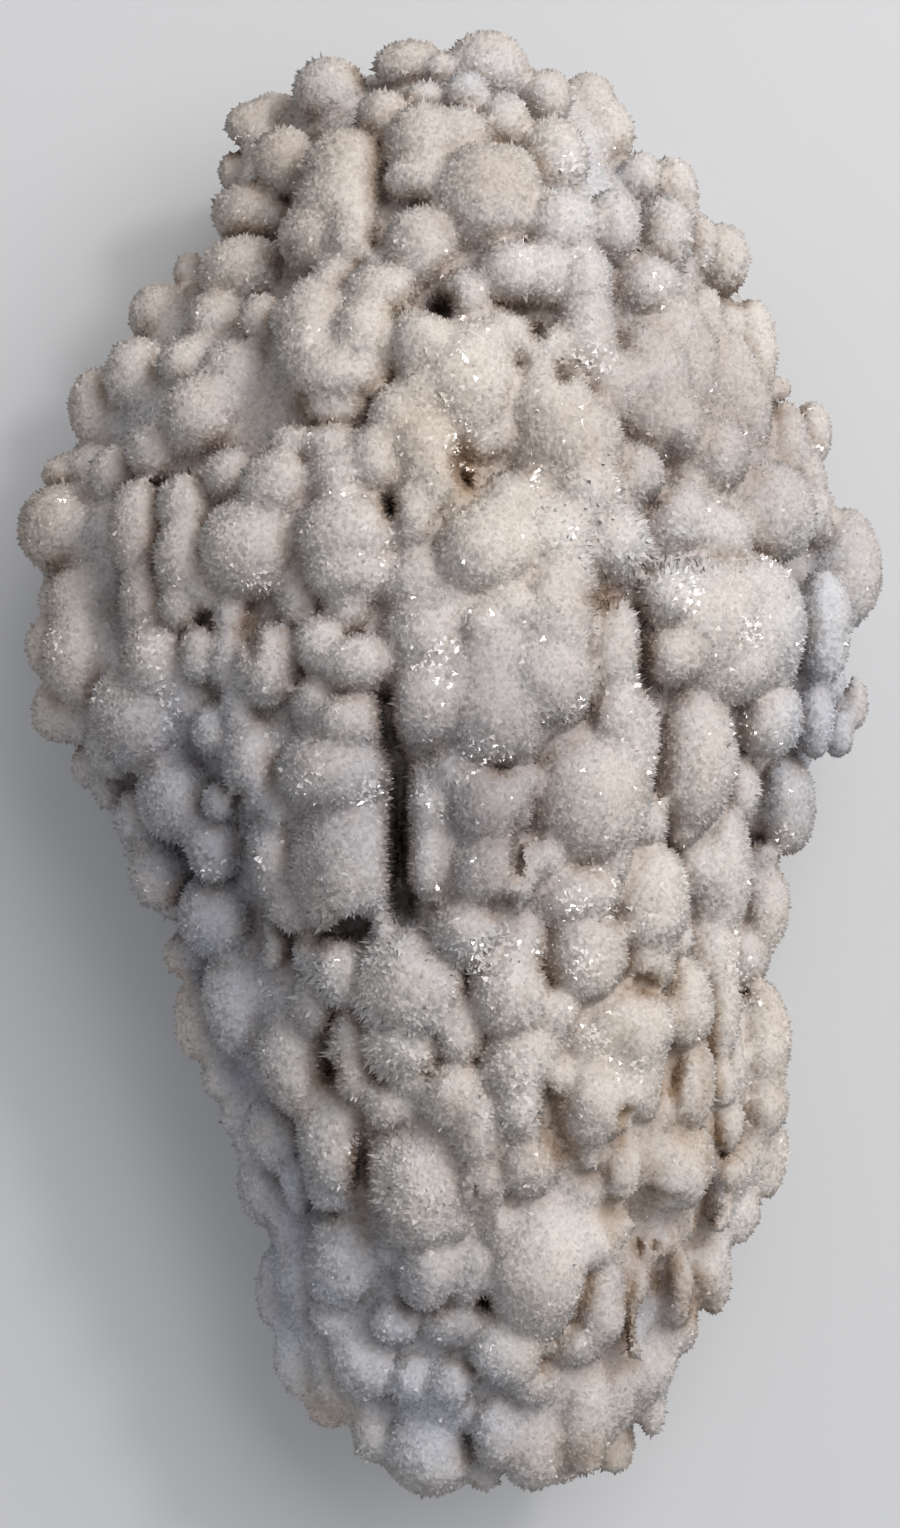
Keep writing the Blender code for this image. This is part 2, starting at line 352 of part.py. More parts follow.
def specimen_field():
    field = Field((-50, -80, -4), (50, 80, 58), STEP)
    field.add((-50, -80, 0), (50, 80, 58), upper_body, 3)
    for centre, radii in body_lumps():
        def under(points, centre=centre, radii=radii):
            return np.maximum(ellipsoid(points, centre, radii), points[..., 2] - centre[2])
        field.add(centre - radii, centre + radii * (1, 1, 0.1), under, 3)
    for x, y, across, along, depth in SWELLS:
        def mass(points, x=x, y=y, across=across, along=along, depth=depth):
            share = (EYE - points[..., 2]) / (EYE - READ_LEVEL)
            seen_x, seen_y = points[..., 0] / share, points[..., 1] / share
            q = np.hypot((seen_x - x) / across, (seen_y - y) / along)
            top = crest(seen_x, seen_y) - depth - SWELL * (1 - np.sqrt(np.clip(1 - q * q, 0, 1)))
            left, right, _ = station(seen_y)
            sides = np.maximum((q - 1) * min(across, along), np.maximum(left - seen_x, seen_x - right) + 4.5)
            sides = np.maximum(sides, np.abs(seen_y) - 67)
            return np.maximum(np.maximum((points[..., 2] - top) * 0.8, sides), top - 7 - points[..., 2])
        place, share = true_place(x, y, crest(x, y) - depth)
        reach = np.array((across, along, 14))
        field.add(place - reach, place + reach, mass, 2)
    for centre, radii, end, blend in knobs_above() + knobs_below():
        reach = np.array(radii)
        thick = NECK * min(radii)
        field.add(
            np.minimum(centre - reach, end - thick),
            np.maximum(centre + reach, end + thick),
            lambda p, c=centre, r=radii, e=end, t=thick: np.minimum(ellipsoid(p, c, r), neck(p, c, e, t)),
            blend,
        )
    for x, y, across, along, depth in GAPS:
        top = crest(x, y)
        centre, share = true_place(x, y, top)
        radii = np.array((across * share, along * share, depth))
        field.cut(centre - radii, centre + radii, lambda p, c=centre, r=radii: ellipsoid(p, c, r), BLEND)
    heights = field.low[2] + field.step * np.arange(field.shape[2])
    field.values = np.maximum(field.values, -2.5 - heights)
    return field


def skin(field):
    """The zero surface as (vertices, quads): a vertex in each cell that it crosses, a quad on each grid edge."""
    f = field.values
    cells = tuple(n - 1 for n in f.shape)
    total, count = np.zeros(cells + (3,)), np.zeros(cells)
    cuts = []
    for axis in range(3):
        first = np.moveaxis(f, axis, 0)
        a, b = first[:-1], first[1:]
        crossed = (a < 0) != (b < 0)
        t = np.where(crossed, a / np.where(crossed, a - b, 1), 0)
        cuts.append((crossed, a < 0))
        for i in (0, 1):
            for j in (0, 1):
                window = (slice(None), slice(i, crossed.shape[1] - 1 + i), slice(j, crossed.shape[2] - 1 + j))
                hit = np.moveaxis(crossed[window], 0, axis)
                offset = np.zeros(cells + (3,))
                others = [k for k in range(3) if k != axis]
                offset[..., axis] = np.moveaxis(t[window], 0, axis)
                offset[..., others[0]] = i
                offset[..., others[1]] = j
                total += offset * hit[..., None]
                count += hit
    used = count > 0
    number = np.full(cells, -1)
    number[used] = np.arange(used.sum())
    corner = np.stack(np.nonzero(used), axis=-1)
    vertices = field.low + field.step * (corner + total[used] / count[used][:, None])
    quads = []
    for axis, (crossed, inside) in enumerate(cuts):
        order = [axis] + [k for k in range(3) if k != axis]
        n = np.transpose(number, order)
        hit = crossed[:, 1:-1, 1:-1]
        quad = np.stack([n[:, :-1, :-1][hit], n[:, 1:, :-1][hit], n[:, 1:, 1:][hit], n[:, :-1, 1:][hit]], axis=-1)
        flip = inside[:, 1:-1, 1:-1][hit] == (axis == 1)
        quad[flip] = quad[flip][:, ::-1]
        quads.append(quad)
    return vertices, np.concatenate(quads)


def evaluated_copy(ob):
    graph = bpy.context.evaluated_depsgraph_get()
    return bpy.data.meshes.new_from_object(ob.evaluated_get(graph))


def outer_shell(mesh):
    """Fills the hollows sealed between the knobs, by keeping only the largest connected surface."""
    bm = bmesh.new()
    bm.from_mesh(mesh)
    left, shells = set(bm.verts), []
    while left:
        shell, edge = set(), [left.pop()]
        while edge:
            vertex = edge.pop()
            shell.add(vertex)
            for link in vertex.link_edges:
                other = link.other_vert(vertex)
                if other in left:
                    left.remove(other)
                    edge.append(other)
        shells.append(shell)
    shells.sort(key=len)
    bmesh.ops.delete(bm, geom=[vertex for shell in shells[:-1] for vertex in shell], context="VERTS")
    bm.to_mesh(mesh)
    bm.free()


def cut_back(mesh):
    """Takes off what is under the rest level and closes the cut with a flat face."""
    bm = bmesh.new()
    bm.from_mesh(mesh)
    everything = bm.verts[:] + bm.edges[:] + bm.faces[:]
    bmesh.ops.bisect_plane(bm, geom=everything, dist=1e-6, plane_co=(0, 0, 0), plane_no=(0, 0, 1), clear_inner=True)
    rim = [edge for edge in bm.edges if edge.is_boundary]
    bmesh.ops.holes_fill(bm, edges=rim, sides=0)
    bmesh.ops.triangulate(bm, faces=[face for face in bm.faces if len(face.verts) > 3])
    bm.to_mesh(mesh)
    bm.free()


def centre_on_rest(mesh):
    """Moves the middle of the outline over the origin."""
    points = np.empty(len(mesh.vertices) * 3)
    mesh.vertices.foreach_get("co", points)
    points = points.reshape(-1, 3)
    middle = (points.min(axis=0) + points.max(axis=0)) / 2
    points -= (middle[0], middle[1], 0)
    mesh.vertices.foreach_set("co", points.ravel())
    mesh.update()


def main():
    for ob in list(bpy.data.objects):
        bpy.data.objects.remove(ob)
    vertices, quads = skin(specimen_field())
    mesh = bpy.data.meshes.new("calcite")
    mesh.from_pydata((vertices / 1000).tolist(), [], quads.tolist())
    ob = bpy.data.objects.new("calcite", mesh)
    bpy.context.scene.collection.objects.link(ob)

    even = ob.modifiers.new("even", "REMESH")
    even.mode = "VOXEL"
    even.voxel_size = 0.001
    ob.data = evaluated_copy(ob)
    ob.modifiers.clear()

    # Fewer faces, then the flat cut at the rest level, so that the cut stays flat.
    fewer = ob.modifiers.new("fewer", "DECIMATE")
    fewer.ratio = TRIANGLES / (2 * len(ob.data.polygons))
    ob.data = evaluated_copy(ob)
    ob.modifiers.clear()
    cut_back(ob.data)
    outer_shell(ob.data)
    centre_on_rest(ob.data)


main()
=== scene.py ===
"""Calcite specimen, cave popcorn habit, as it looks: a crust of grown-together calcite knobs, coated with fine
dogtooth druse, lying on its cut back. Lengths in the tables are millimetres; the meshes are in metres.
"""

import math
import random
from functools import partial

import bpy
import numpy as np
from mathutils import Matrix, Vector


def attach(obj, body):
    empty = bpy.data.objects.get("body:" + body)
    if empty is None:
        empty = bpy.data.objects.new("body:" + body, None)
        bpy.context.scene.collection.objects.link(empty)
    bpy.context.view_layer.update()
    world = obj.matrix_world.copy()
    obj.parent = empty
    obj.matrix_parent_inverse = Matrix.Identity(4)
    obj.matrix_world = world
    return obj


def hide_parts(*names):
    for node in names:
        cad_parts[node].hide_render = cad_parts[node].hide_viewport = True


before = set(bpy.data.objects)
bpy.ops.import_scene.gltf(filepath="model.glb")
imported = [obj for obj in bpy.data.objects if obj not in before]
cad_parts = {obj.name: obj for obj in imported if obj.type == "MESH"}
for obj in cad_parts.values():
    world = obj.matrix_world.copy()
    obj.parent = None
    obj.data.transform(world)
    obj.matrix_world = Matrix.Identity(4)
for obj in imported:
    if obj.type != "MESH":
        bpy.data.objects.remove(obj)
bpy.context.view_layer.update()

# The crust. A sheet of milky calcite grown from a wet cave wall, in knobs that met and fused as they thickened.
# It is one piece with no joint. Its back was broken off and cut flat, and it lies on that cut.
MM = 0.001
MIDDLE = np.array((0.01, -0.1, 0))  # middle of the outline, in the readings below
EYE = 340.0  # height over the rest face from which the knobs were read
READ_LEVEL = 22.0  # height at which the readings are true size; higher knobs look larger than they are
RIM = 17.0  # height of the widest level, where the crust turns under
BROAD = 0.7  # exponent of the cross-section: 0.5 is a half ellipse, 1 a parabola

# Outline and crest of the body: (y, left, right, height of the knob tips along the crest)
STATIONS = (
    (73, 2, 5.5, 24), (70.4, -11.5, 9, 30), (67.4, -16, 15.2, 35), (63.9, -21.7, 17.2, 38.5),
    (57.4, -22.8, 24, 43), (52.4, -24.5, 29.5, 45.5), (47.4, -28, 30, 47), (41.9, -33.8, 32.2, 48),
    (36.4, -38, 35.2, 49), (30.4, -39.5, 37.8, 50), (23.4, -43.2, 40, 51), (16.4, -42.5, 43, 51.5),
    (11.4, -42.8, 41, 52), (4.4, -41, 40.5, 51.5), (-2.6, -36.8, 36.2, 51), (-10.6, -33.2, 34, 50),
    (-18.6, -28.2, 33, 48.5), (-25.6, -27.2, 33.5, 47), (-33.6, -23.8, 34.2, 45), (-39.6, -21.8, 32.8, 43),
    (-46.6, -19.5, 29, 41), (-52.6, -18, 28, 39), (-57.6, -16.5, 24.5, 37), (-63.6, -14.2, 21.5, 34),
    (-67.6, -8.5, 18.2, 31), (-70.6, -4.5, 15, 27), (-73, -2, 11, 22),
)


def station(y):
    """(left, right, crest height) of the body at y."""
    table = np.array(STATIONS)[::-1]
    return [np.interp(y, table[:, 0], table[:, column]) for column in (1, 2, 3)]


def crest(x, y):
    """Height of the surface that the knob tips reach at (x, y)."""
    left, right, top = station(y)
    u = np.minimum(np.abs(2 * (x - left) / (right - left) - 1), 1)
    return RIM + (top - RIM) * (1 - u * u) ** BROAD


def true_place(x, y, z):
    """A reading made at height z, moved to where it really is, with the share by which it shrinks."""
    share = (EYE - z) / (EYE - READ_LEVEL)
    return np.array((x * share, y * share, z)), share


def seen_place(points):
    """Where points show in the readings, as (x, y)."""
    share = (EYE - points[..., 2]) / (EYE - READ_LEVEL)
    return points[..., 0] / share, points[..., 1] / share


# Wear on the right of the foot, which took the relief down and left pits and ridges
WORN_LINE, WORN_REACH = 21, 8  # where the worn strip lies across, and how far it reaches to each side
WORN_FROM, FROM_FADE = -31, 5  # where it begins along Y, and over what length it fades out beyond that
WORN_TO, TO_FADE = -54, 8  # the same at its other end
WHOLE_EDGE, EDGE_FADE = 1.5, 4  # width of the unworn outline, and over what width the wear sets in from there


def wear(x, y):
    """How far the crust is worn down and pitted, 0 to 1."""
    left, right, _ = station(y)
    inside = np.clip((np.minimum(x - left, right - x) - WHOLE_EDGE) / EDGE_FADE, 0, 1)
    across = (x - WORN_LINE) / WORN_REACH
    below = np.maximum(WORN_TO - y, 0) / TO_FADE
    above = np.maximum(y - WORN_FROM, 0) / FROM_FADE
    return inside * np.exp(-(across**2) - below**2 - above**2)


# The body under the knobs: half ellipses below the rim, and over it a mass that follows the crest
UNDERCUT = 26.0  # depth of the half ellipses, which the flat cut shortens
INSET = 4.0  # how far they stay inside the outline
END = 68.5  # how far they reach along Y
LUMP = 11.0  # half the length of each
TIP_END = 71.5  # half the length of the outline of the mass over the rim
EDGE = 3.0  # how far that mass stays inside the outline
OVERLAP = 3.0  # how far it reaches down past the rim
CRUST = 5.2  # how far the floor between the knobs lies under their tips
FOOT_CRUST = 4.6  # the same at the foot
FOOT_BAND = (-45, 5)  # stretch along Y in which the depth goes from one to the other
STEEP = 2.4  # on the steep sides the floor lies up to this many times as deep
FILLED = 0.5  # share of the depth that is missing where the crust is worn most
SLANT = 0.7  # turns a height over the sloping top into about the distance to it


def body_lumps():
    """Overlapping half ellipses along the body under the rim, each as (centre, radii)."""
    lumps = []
    for y, left, right, _ in STATIONS:
        if abs(y) > END - LUMP:
            continue
        middle, half = (left + right) / 2, (right - left) / 2 - INSET
        place, share = true_place(middle, y, RIM)
        lumps.append((place, np.array((half * share, LUMP, UNDERCUT))))
    return lumps


def upper_body(points):
    """Distance to the body over the rim, whose top follows the crest a little under the knob tips."""
    x, y = seen_place(points)
    left, right, _ = station(y)
    sides = np.maximum(np.maximum(left - x, x - right), np.abs(y) - TIP_END) + EDGE
    slope = (crest(x + 1, y) - crest(x - 1, y)) / 2
    deep = np.interp(y, FOOT_BAND, (FOOT_CRUST, CRUST)) * np.minimum(np.sqrt(1 + slope * slope), STEEP)
    deep *= 1 - FILLED * wear(x, y)
    top = (points[..., 2] - crest(x, y) + deep) * SLANT
    return np.maximum(np.maximum(top, sides), RIM - OVERLAP - points[..., 2])


def ellipsoid(points, centre, radii):
    """Distance to an ellipsoid's surface, near enough close to it."""
    p = points - centre
    k0 = np.linalg.norm(p / radii, axis=-1)
    k1 = np.linalg.norm(p / np.square(radii), axis=-1)
    return k0 * (k0 - 1) / np.maximum(k1, 1e-6)


def under_rim(points, centre, radii):
    """Distance to the lower half of an ellipsoid."""
    return np.maximum(ellipsoid(points, centre, radii), points[..., 2] - centre[2])


# Swells, broad masses that several knobs share: (x, y, half width across, half width along, depth of the top)
SWELLS = (
    (3.5, 12.6, 10.4, 13.8, 1), (26.8, 13.6, 8, 6.2, 1.6), (11.2, 30.9, 5.6, 9.5, 1.6),
    (-11.5, 54.9, 4.5, 8, 2.4), (1, 59.9, 7, 7.5, 3.6), (12.5, 53.9, 6.5, 8, 3.6), (22.5, 46.4, 7.5, 8, 3),
    (28.5, 32.4, 7, 11, 2.4), (-12.5, 41.4, 5.8, 7, 2.4), (-15, 24.4, 9, 7.5, 2.8), (-27, 35.4, 9, 10, 3.2),
    (-37, 22.4, 5.5, 9, 2.4), (-37.5, 10.4, 5.5, 8, 2.2), (-30, 6.4, 6, 8, 1.6), (-15, -2.6, 7, 8, 2.4),
    (-11, -9.6, 5.4, 7.5, 1.6), (2.6, -8.6, 5.4, 10, 2.2), (14, -2.6, 6, 8, 1.4), (19.5, -14.1, 4.2, 7, 1.8),
    (25, 0.4, 4, 8, 1.8), (27.5, -12.6, 3.5, 9, 1.8), (-19.5, -26.1, 8, 9, 1.8), (-4, -22.6, 5.2, 6.6, 1.8),
    (-2.5, -41.6, 5.6, 6.6, 1.4), (15.5, -29.6, 5.4, 10, 1.6), (-11, -38.6, 4, 7, 1.8), (9, -50.6, 5, 8, 1.6),
    (21.5, -40.6, 6, 7, 1.6), (-10, -52.6, 7, 8, 2), (-1.5, -65.8, 5.2, 5.6, 1.6), (11, -63.4, 7, 7.4, 1.6),
    (20, -57.6, 5, 9, 1.8), (31.5, -28.6, 4, 9, 1.8),
)
SWELL = 6.0  # how far a swell falls from its middle to its edge
LOWER = 1.2  # times as deep as read, so that the knobs stand out from the swells
SWELL_EDGE = 4.5  # how far a swell stays inside the outline
SWELL_END = 67.0  # how far the swells reach along Y
SWELL_THICK = 7.0  # how far a swell reaches down
SWELL_SLANT = 0.8  # turns a height over its top into about the distance to it


def swell(points, x, y, across, along, depth):
    """Distance to a broad dome whose top lies under the crest."""
    seen_x, seen_y = seen_place(points)
    q = np.hypot((seen_x - x) / across, (seen_y - y) / along)
    top = crest(seen_x, seen_y) - LOWER * depth - SWELL * (1 - np.sqrt(np.clip(1 - q * q, 0, 1)))
    left, right, _ = station(seen_y)
    sides = np.maximum((q - 1) * min(across, along), np.maximum(left - seen_x, seen_x - right) + SWELL_EDGE)
    sides = np.maximum(sides, np.abs(seen_y) - SWELL_END)
    under = top - SWELL_THICK - points[..., 2]
    return np.maximum(np.maximum((points[..., 2] - top) * SWELL_SLANT, sides), under)


# Knobs: (x, y, half width across, half width along, how far the tip lies under the crest surface)
KNOBS = {
    "crown": (
        (-12, 67.2, 3.6, 3.4, 0), (-6.6, 64.8, 2.8, 2.7, 0.8), (-4.2, 69.8, 3.6, 2.6, 0.6),
        (-1.2, 69.4, 1.6, 2, 1.2), (-2.5, 66.6, 2.4, 2, 2.2), (3.8, 69, 4.2, 3.8, 0),
        (1.6, 66.7, 2.5, 2.7, 0.7), (5.3, 64.2, 2.7, 3, 0.3), (-2.5, 61.8, 3.4, 3.4, 0.3),
        (0.8, 62.6, 2.6, 2.8, 0.3), (-2.8, 58.2, 3.2, 2.2, 1.4), (3.5, 55.9, 4.8, 5, 0),
        (5.7, 59.2, 2.6, 2.4, 0.2), (-3, 51.4, 3.2, 3.6, 0.8), (6, 49, 2.9, 2.9, 1),
        (9.5, 66.6, 2.7, 2.9, 0.7), (13.8, 66.6, 2.8, 2.6, 0.2), (15.8, 63.2, 2.6, 3.4, 0.2),
        (10.2, 60.4, 3, 3.6, 0), (10.8, 53.8, 3.4, 3.2, 0), (16.2, 53.8, 2.4, 3, 0.4),
        (13, 48.2, 2.6, 3.2, 0.8), (9.5, 48.9, 2.2, 3, 2), (-19.8, 63.9, 2.8, 2.4, 1.2),
        (-17.2, 65.6, 2.6, 1.8, 1.4), (-21.4, 59.2, 2, 2.2, 2), (-16.4, 60.4, 3.2, 3.2, 0.5),
        (-10.5, 59.8, 3.4, 3.1, 0), (-10.7, 56, 3.6, 3.4, 0.3), (-13, 52.4, 3.4, 3.4, 0.2),
        (-9.8, 52.6, 2.2, 3.2, 0.8), (-11.5, 48.6, 2.2, 2, 2), (-19.8, 55, 4, 3.2, 0),
        (-20.6, 49.2, 3.8, 3, 0.3), (-7.4, 50.4, 1.4, 1.6, 3), (-7, 47, 3.2, 2.7, 0.8),
    ),
    "left shoulder": (
        (-26, 48.9, 2, 2.4, 1), (-28.8, 45, 3.3, 3.1, 0), (-31.2, 38.8, 3.3, 3.8, 0),
        (-26, 40, 2.8, 2.4, 1.5), (-24.5, 34.6, 3.6, 3.6, 0.3), (-29, 31.4, 2.8, 2.8, 1),
        (-35.3, 35.4, 2.8, 4, 0.8), (-33.3, 29, 2.4, 2.4, 1.6), (-38.4, 29, 2.6, 2.2, 1.2),
        (-38.7, 23.7, 4.5, 4.3, 0), (-18.8, 44.4, 2.2, 2.2, 1.5), (-20.5, 37.4, 4.2, 4.6, 4),
        (-21.8, 29, 2.5, 2.4, 1.2),
    ),
    "upper middle": (
        (-13.5, 44.6, 3.8, 3.2, 0), (-8.5, 42.6, 2.9, 3.6, 0.3), (-13.8, 41.2, 3, 3.4, 0.2),
        (-11, 38.8, 4.4, 2.8, 0.4), (-11.3, 35.4, 3.2, 1.8, 2.5), (-2.5, 41.9, 3.3, 3.6, 0.5),
        (1.2, 37.6, 4.8, 5.6, 0), (-2.6, 36.8, 2.6, 2.8, 0.9), (5, 42.6, 4.2, 2.7, 2),
        (9, 41.2, 2.4, 2.8, 1.5), (-15.5, 32.2, 2.4, 1.7, 1.5), (-12, 32, 2.6, 1.8, 1.5),
        (-7.2, 30, 2.8, 3.4, 1), (-5.4, 35, 2.4, 2.6, 0.8), (-2.8, 31.4, 3.2, 3.2, 0.6),
        (-1, 27.8, 3.4, 3, 0.5), (-3.5, 24.9, 2.6, 3.4, 0.9), (3, 32.4, 2, 2.2, 3),
        (5.2, 33.2, 1.6, 2.2, 3), (9.5, 36.2, 3.8, 3.4, 0.3), (11.5, 31.9, 4.8, 4.2, 0),
        (13.3, 27.2, 3.4, 3.8, 0), (18.5, 28.6, 2.4, 3, 1.2), (6, 26.4, 2.8, 2.4, 0.8),
    ),
    "right shoulder": (
        (19, 58.6, 2.4, 2.6, 1), (22.2, 57.4, 2.6, 3.2, 0), (21.5, 52.8, 2.6, 3.4, 0.6),
        (25, 51.9, 2, 3, 1.5), (27.2, 50.6, 2.9, 3.4, 0), (19.5, 47.4, 3, 2.8, 0.3),
        (21.5, 43.2, 3.4, 3.4, 0.8), (25.2, 44.6, 2.4, 3.4, 1), (13.5, 42.4, 2.8, 4.2, 1),
        (16, 37.4, 2.8, 3.4, 1.5), (19.5, 37.9, 3.8, 5.2, 0.8), (21, 33.9, 3.6, 3.4, 1.2),
        (24, 39.4, 2.8, 4.4, 1.2), (27.2, 37.9, 3, 4.6, 0.6), (30.2, 41.2, 2.6, 5, 0.4),
        (29.5, 35.4, 2.4, 3.8, 0.8), (26.8, 30.8, 2.8, 3.2, 0.2), (31, 25, 4.4, 4.4, 0.3),
        (33.2, 37.6, 1.4, 1.6, 0.8), (36.2, 33, 2, 3.4, 0.2), (33.4, 31.6, 2.4, 4.4, 0.6),
        (35.5, 28.6, 2.2, 2.8, 0.8), (16, 21.9, 3.4, 3.6, 1.5), (22, 24.4, 3.6, 3.8, 3),
        (26.5, 22.7, 3.2, 3, 2), (39.5, 19.6, 3.4, 5.8, 0), (37.2, 13.6, 2.8, 5.4, 0.4),
        (40.5, 6.2, 1.5, 3, 0.2), (36.5, 4.2, 2, 3.8, 0.6), (38.8, 2.9, 1.8, 2.6, 0.8),
    ),
    "middle": (
        (-16.8, 27.6, 3.4, 3.2, 0.6), (-19.4, 21.6, 4.4, 4.4, 0.3), (-10.8, 28.6, 3, 2.8, 1),
        (-10, 22.9, 4.5, 4, 0), (-9.8, 19.4, 4, 3, 0.6), (-10, 15.9, 2.2, 2.6, 2.2),
        (-15, 16.6, 2.2, 2.6, 3.2), (-18, 9.9, 3, 3.6, 1.5), (-9, 10, 3.2, 2.6, 1),
        (-12.8, 11.9, 2.4, 2.6, 1.8), (-13, 5.9, 2.6, 3, 2.2), (-3.2, 18.4, 3.4, 3.4, 1.8),
        (-2.4, 12.4, 3.6, 3.6, 1.2), (-2.2, 6.4, 4, 4.2, 0.7), (3.6, 21.2, 4.6, 4.6, -1),
        (9.5, 21.9, 4, 4.6, 0.2), (10, 15.4, 4, 6, 0), (9, 8.4, 4.4, 4.8, 0), (4, 4.9, 5, 5, 0.1),
        (3.2, 14, 2, 2, 0.6), (6.4, 16, 2, 2, 0.4), (16.2, 11.4, 2.7, 4.4, 0.8), (16.5, 5.2, 2.4, 3.6, 1),
        (24.5, 14.2, 5.4, 5.4, 0.2), (29.8, 13.6, 4.6, 6, 0), (26.5, 9.6, 4.8, 3.2, 0.4),
        (21.6, 16.6, 2.6, 2.6, 0.7), (21.8, 10.9, 2.7, 2.6, 0.6), (28.5, 17.2, 3, 2.6, 0.6),
    ),
    "left flank": (
        (-37, 16.4, 3.4, 3.4, 0.3), (-39.4, 11.9, 3, 3.4, 0.3), (-36.6, 10.9, 3.4, 4.4, 0.1),
        (-31.2, 23.4, 2.6, 4.2, 0.6), (-30.4, 16.4, 2.2, 3.2, 0.8), (-26.3, 25.9, 2.6, 2.8, 1.5),
        (-26.5, 20.4, 2.7, 3.4, 0.8), (-26.8, 15.9, 2, 2.4, 1.5), (-24.3, 17.4, 1.7, 2, 2.5),
        (-29.2, 10.2, 3.2, 3.6, 0.6), (-30.2, 5, 4.6, 4.8, 0), (-25, 10.9, 2, 2.6, 2),
        (-21.8, 14.9, 1.7, 2.8, 3), (-22.2, 10.4, 1.9, 2.6, 3), (-21, 5.6, 1.7, 2.6, 3),
        (-23.5, 3.6, 2.2, 2.4, 2.5), (-39, 5.2, 3, 3.2, 0), (-33.5, 1.6, 2.7, 3, 0.5),
        (-27, -3.1, 3.6, 4, 0), (-19.4, -0.1, 2.8, 4, 1), (-31, -5.1, 2.6, 3, 0.5),
        (-29, -10.8, 3.2, 3.8, 0), (-23.5, -7.9, 2.6, 3.2, 1.5), (-23, -15.1, 3.4, 3.8, 0.5),
        (-17.5, -9.1, 2.8, 3.8, 1), (-14.5, -14.1, 3.4, 2.6, 2), (-17.5, -17.9, 1.7, 2.7, 2),
    ),
    "belly columns": (
        (-11.5, -0.4, 4.8, 4, 0), (-10, 4.2, 3.3, 2.8, 0.5), (-10, -9.4, 4.9, 6.4, 0),
        (3.7, -3.9, 3.8, 4.2, 0.5), (4.2, -10.8, 3.8, 4.2, 0), (-2.2, -3.6, 2.4, 3.6, 2.5),
        (-2.2, -9.8, 2.4, 3.8, 2), (1.5, -16.4, 3.3, 3, 0.5), (13.2, -3.1, 5.6, 6, 0),
        (17.8, 1.9, 2.6, 5.4, 1), (12.1, -12.9, 4, 3, 1.5), (19.3, -13.6, 3.8, 5, 0),
        (19.5, -19.6, 2.6, 3.4, 1), (24, 0.7, 3.7, 6.2, 0), (31.6, 4.6, 3, 3.4, 0), (33.3, -3.9, 3, 5, 0),
        (29, -2.1, 1.8, 3, 1.5), (27.2, -10.4, 2.4, 5.8, 0.5), (31.5, -14.4, 2.6, 4.4, 0),
        (24, -9.8, 2.2, 2.8, 2.5), (13.2, -19.1, 3.6, 4.2, 0.5), (7, -17.6, 2.2, 2.8, 3),
        (26, -18.6, 2.8, 3.2, 1.5),
    ),
    "lower left": (
        (-13.8, -19.1, 1.8, 2.6, 2), (-13.5, -23.6, 2.1, 3.4, 1.5), (-3.8, -21.4, 4.8, 5, 0),
        (-4.5, -27.9, 3.4, 3.2, 1), (1.1, -26.6, 2.1, 3, 2), (-9.8, -28.4, 2.3, 4.2, 1.5),
        (-5.5, -33.8, 2.8, 2.4, 2), (0.5, -32.8, 2.9, 3.4, 1), (-26, -19.1, 2.7, 2.6, 1),
        (-25.4, -25.6, 2, 4.2, 0.5), (-20.6, -23.6, 3.6, 4.6, 0.5), (-15.5, -29.1, 3.2, 4.6, 0),
        (-22.4, -30.8, 2.7, 3.2, 1), (-21.2, -34.8, 2, 2.4, 1), (-17.4, -36.8, 3.3, 3.8, 0.5),
        (-11.2, -37.4, 3.1, 5, 0), (-11.3, -41.6, 2.8, 2.8, 1), (-2.8, -41.6, 5.3, 5.8, 0),
        (-18.7, -42.4, 2.4, 4, 0.5), (-15, -42.1, 2, 3.4, 2.5),
    ),
    "lower middle": (
        (5.8, -22.8, 3.3, 4, 0), (6.8, -29.4, 3.5, 3.4, 0.5), (7.2, -34.1, 2.8, 3.2, 1),
        (2.6, -35.8, 2.7, 4.4, 1), (7.5, -39.4, 2.8, 3.4, 1), (3, -41.1, 2.6, 3.4, 1),
        (16.2, -26.6, 5, 4.6, 0), (14.5, -33.1, 3.8, 5, 0), (23.3, -24.4, 2.5, 4.4, 0.5),
        (27.1, -23.6, 1.8, 5.6, 1), (31.3, -27.6, 2.7, 5.8, 0), (19.3, -29.8, 2.5, 5.2, 0.5),
        (23.8, -31.9, 2.5, 4.2, 0.5), (31.2, -34.1, 2.6, 3, 1), (21.8, -40.1, 4.2, 4.8, 0.5),
        (17, -39.6, 2.2, 3.6, 1), (27.8, -36.4, 2, 3, 2), (31.7, -39.4, 2, 4, 0.5),
        (27.8, -40.6, 2.1, 2.2, 1.5), (14, -42.1, 2.8, 2.8, 3), (24.2, -45.1, 3.8, 3.2, 1),
        (28.8, -44.8, 2.2, 3.2, 0.5),
    ),
    "foot": (
        (-10, -49.4, 4, 4.4, 0), (-17.8, -52.1, 1.8, 3.8, 1), (-14.7, -51.9, 2.2, 4.6, 0.5),
        (-2, -50.4, 3, 3.6, 0.5), (-5.2, -55.4, 2.5, 2.4, 1.5), (-8.2, -58.8, 3, 3.8, 1),
        (-15, -59.1, 2.2, 4.2, 0.5), (-11.5, -61.1, 1.7, 3.6, 1), (-12.2, -64.3, 2.1, 2, 1),
        (0.3, -61.6, 2.6, 2.4, 1.5), (-3.5, -61.1, 2.2, 2.4, 2), (-1.4, -67.6, 4.6, 5.4, 0),
        (-7.7, -65.4, 2.4, 3.8, 0.5), (5.8, -58.1, 3.6, 3.2, 0.5), (4.5, -66.1, 2.8, 4, 0.5),
        (8.8, -49.6, 4.2, 6.6, 0), (14.2, -46.8, 2.6, 3.2, 1), (14.9, -53.1, 2.6, 4.6, 0.5),
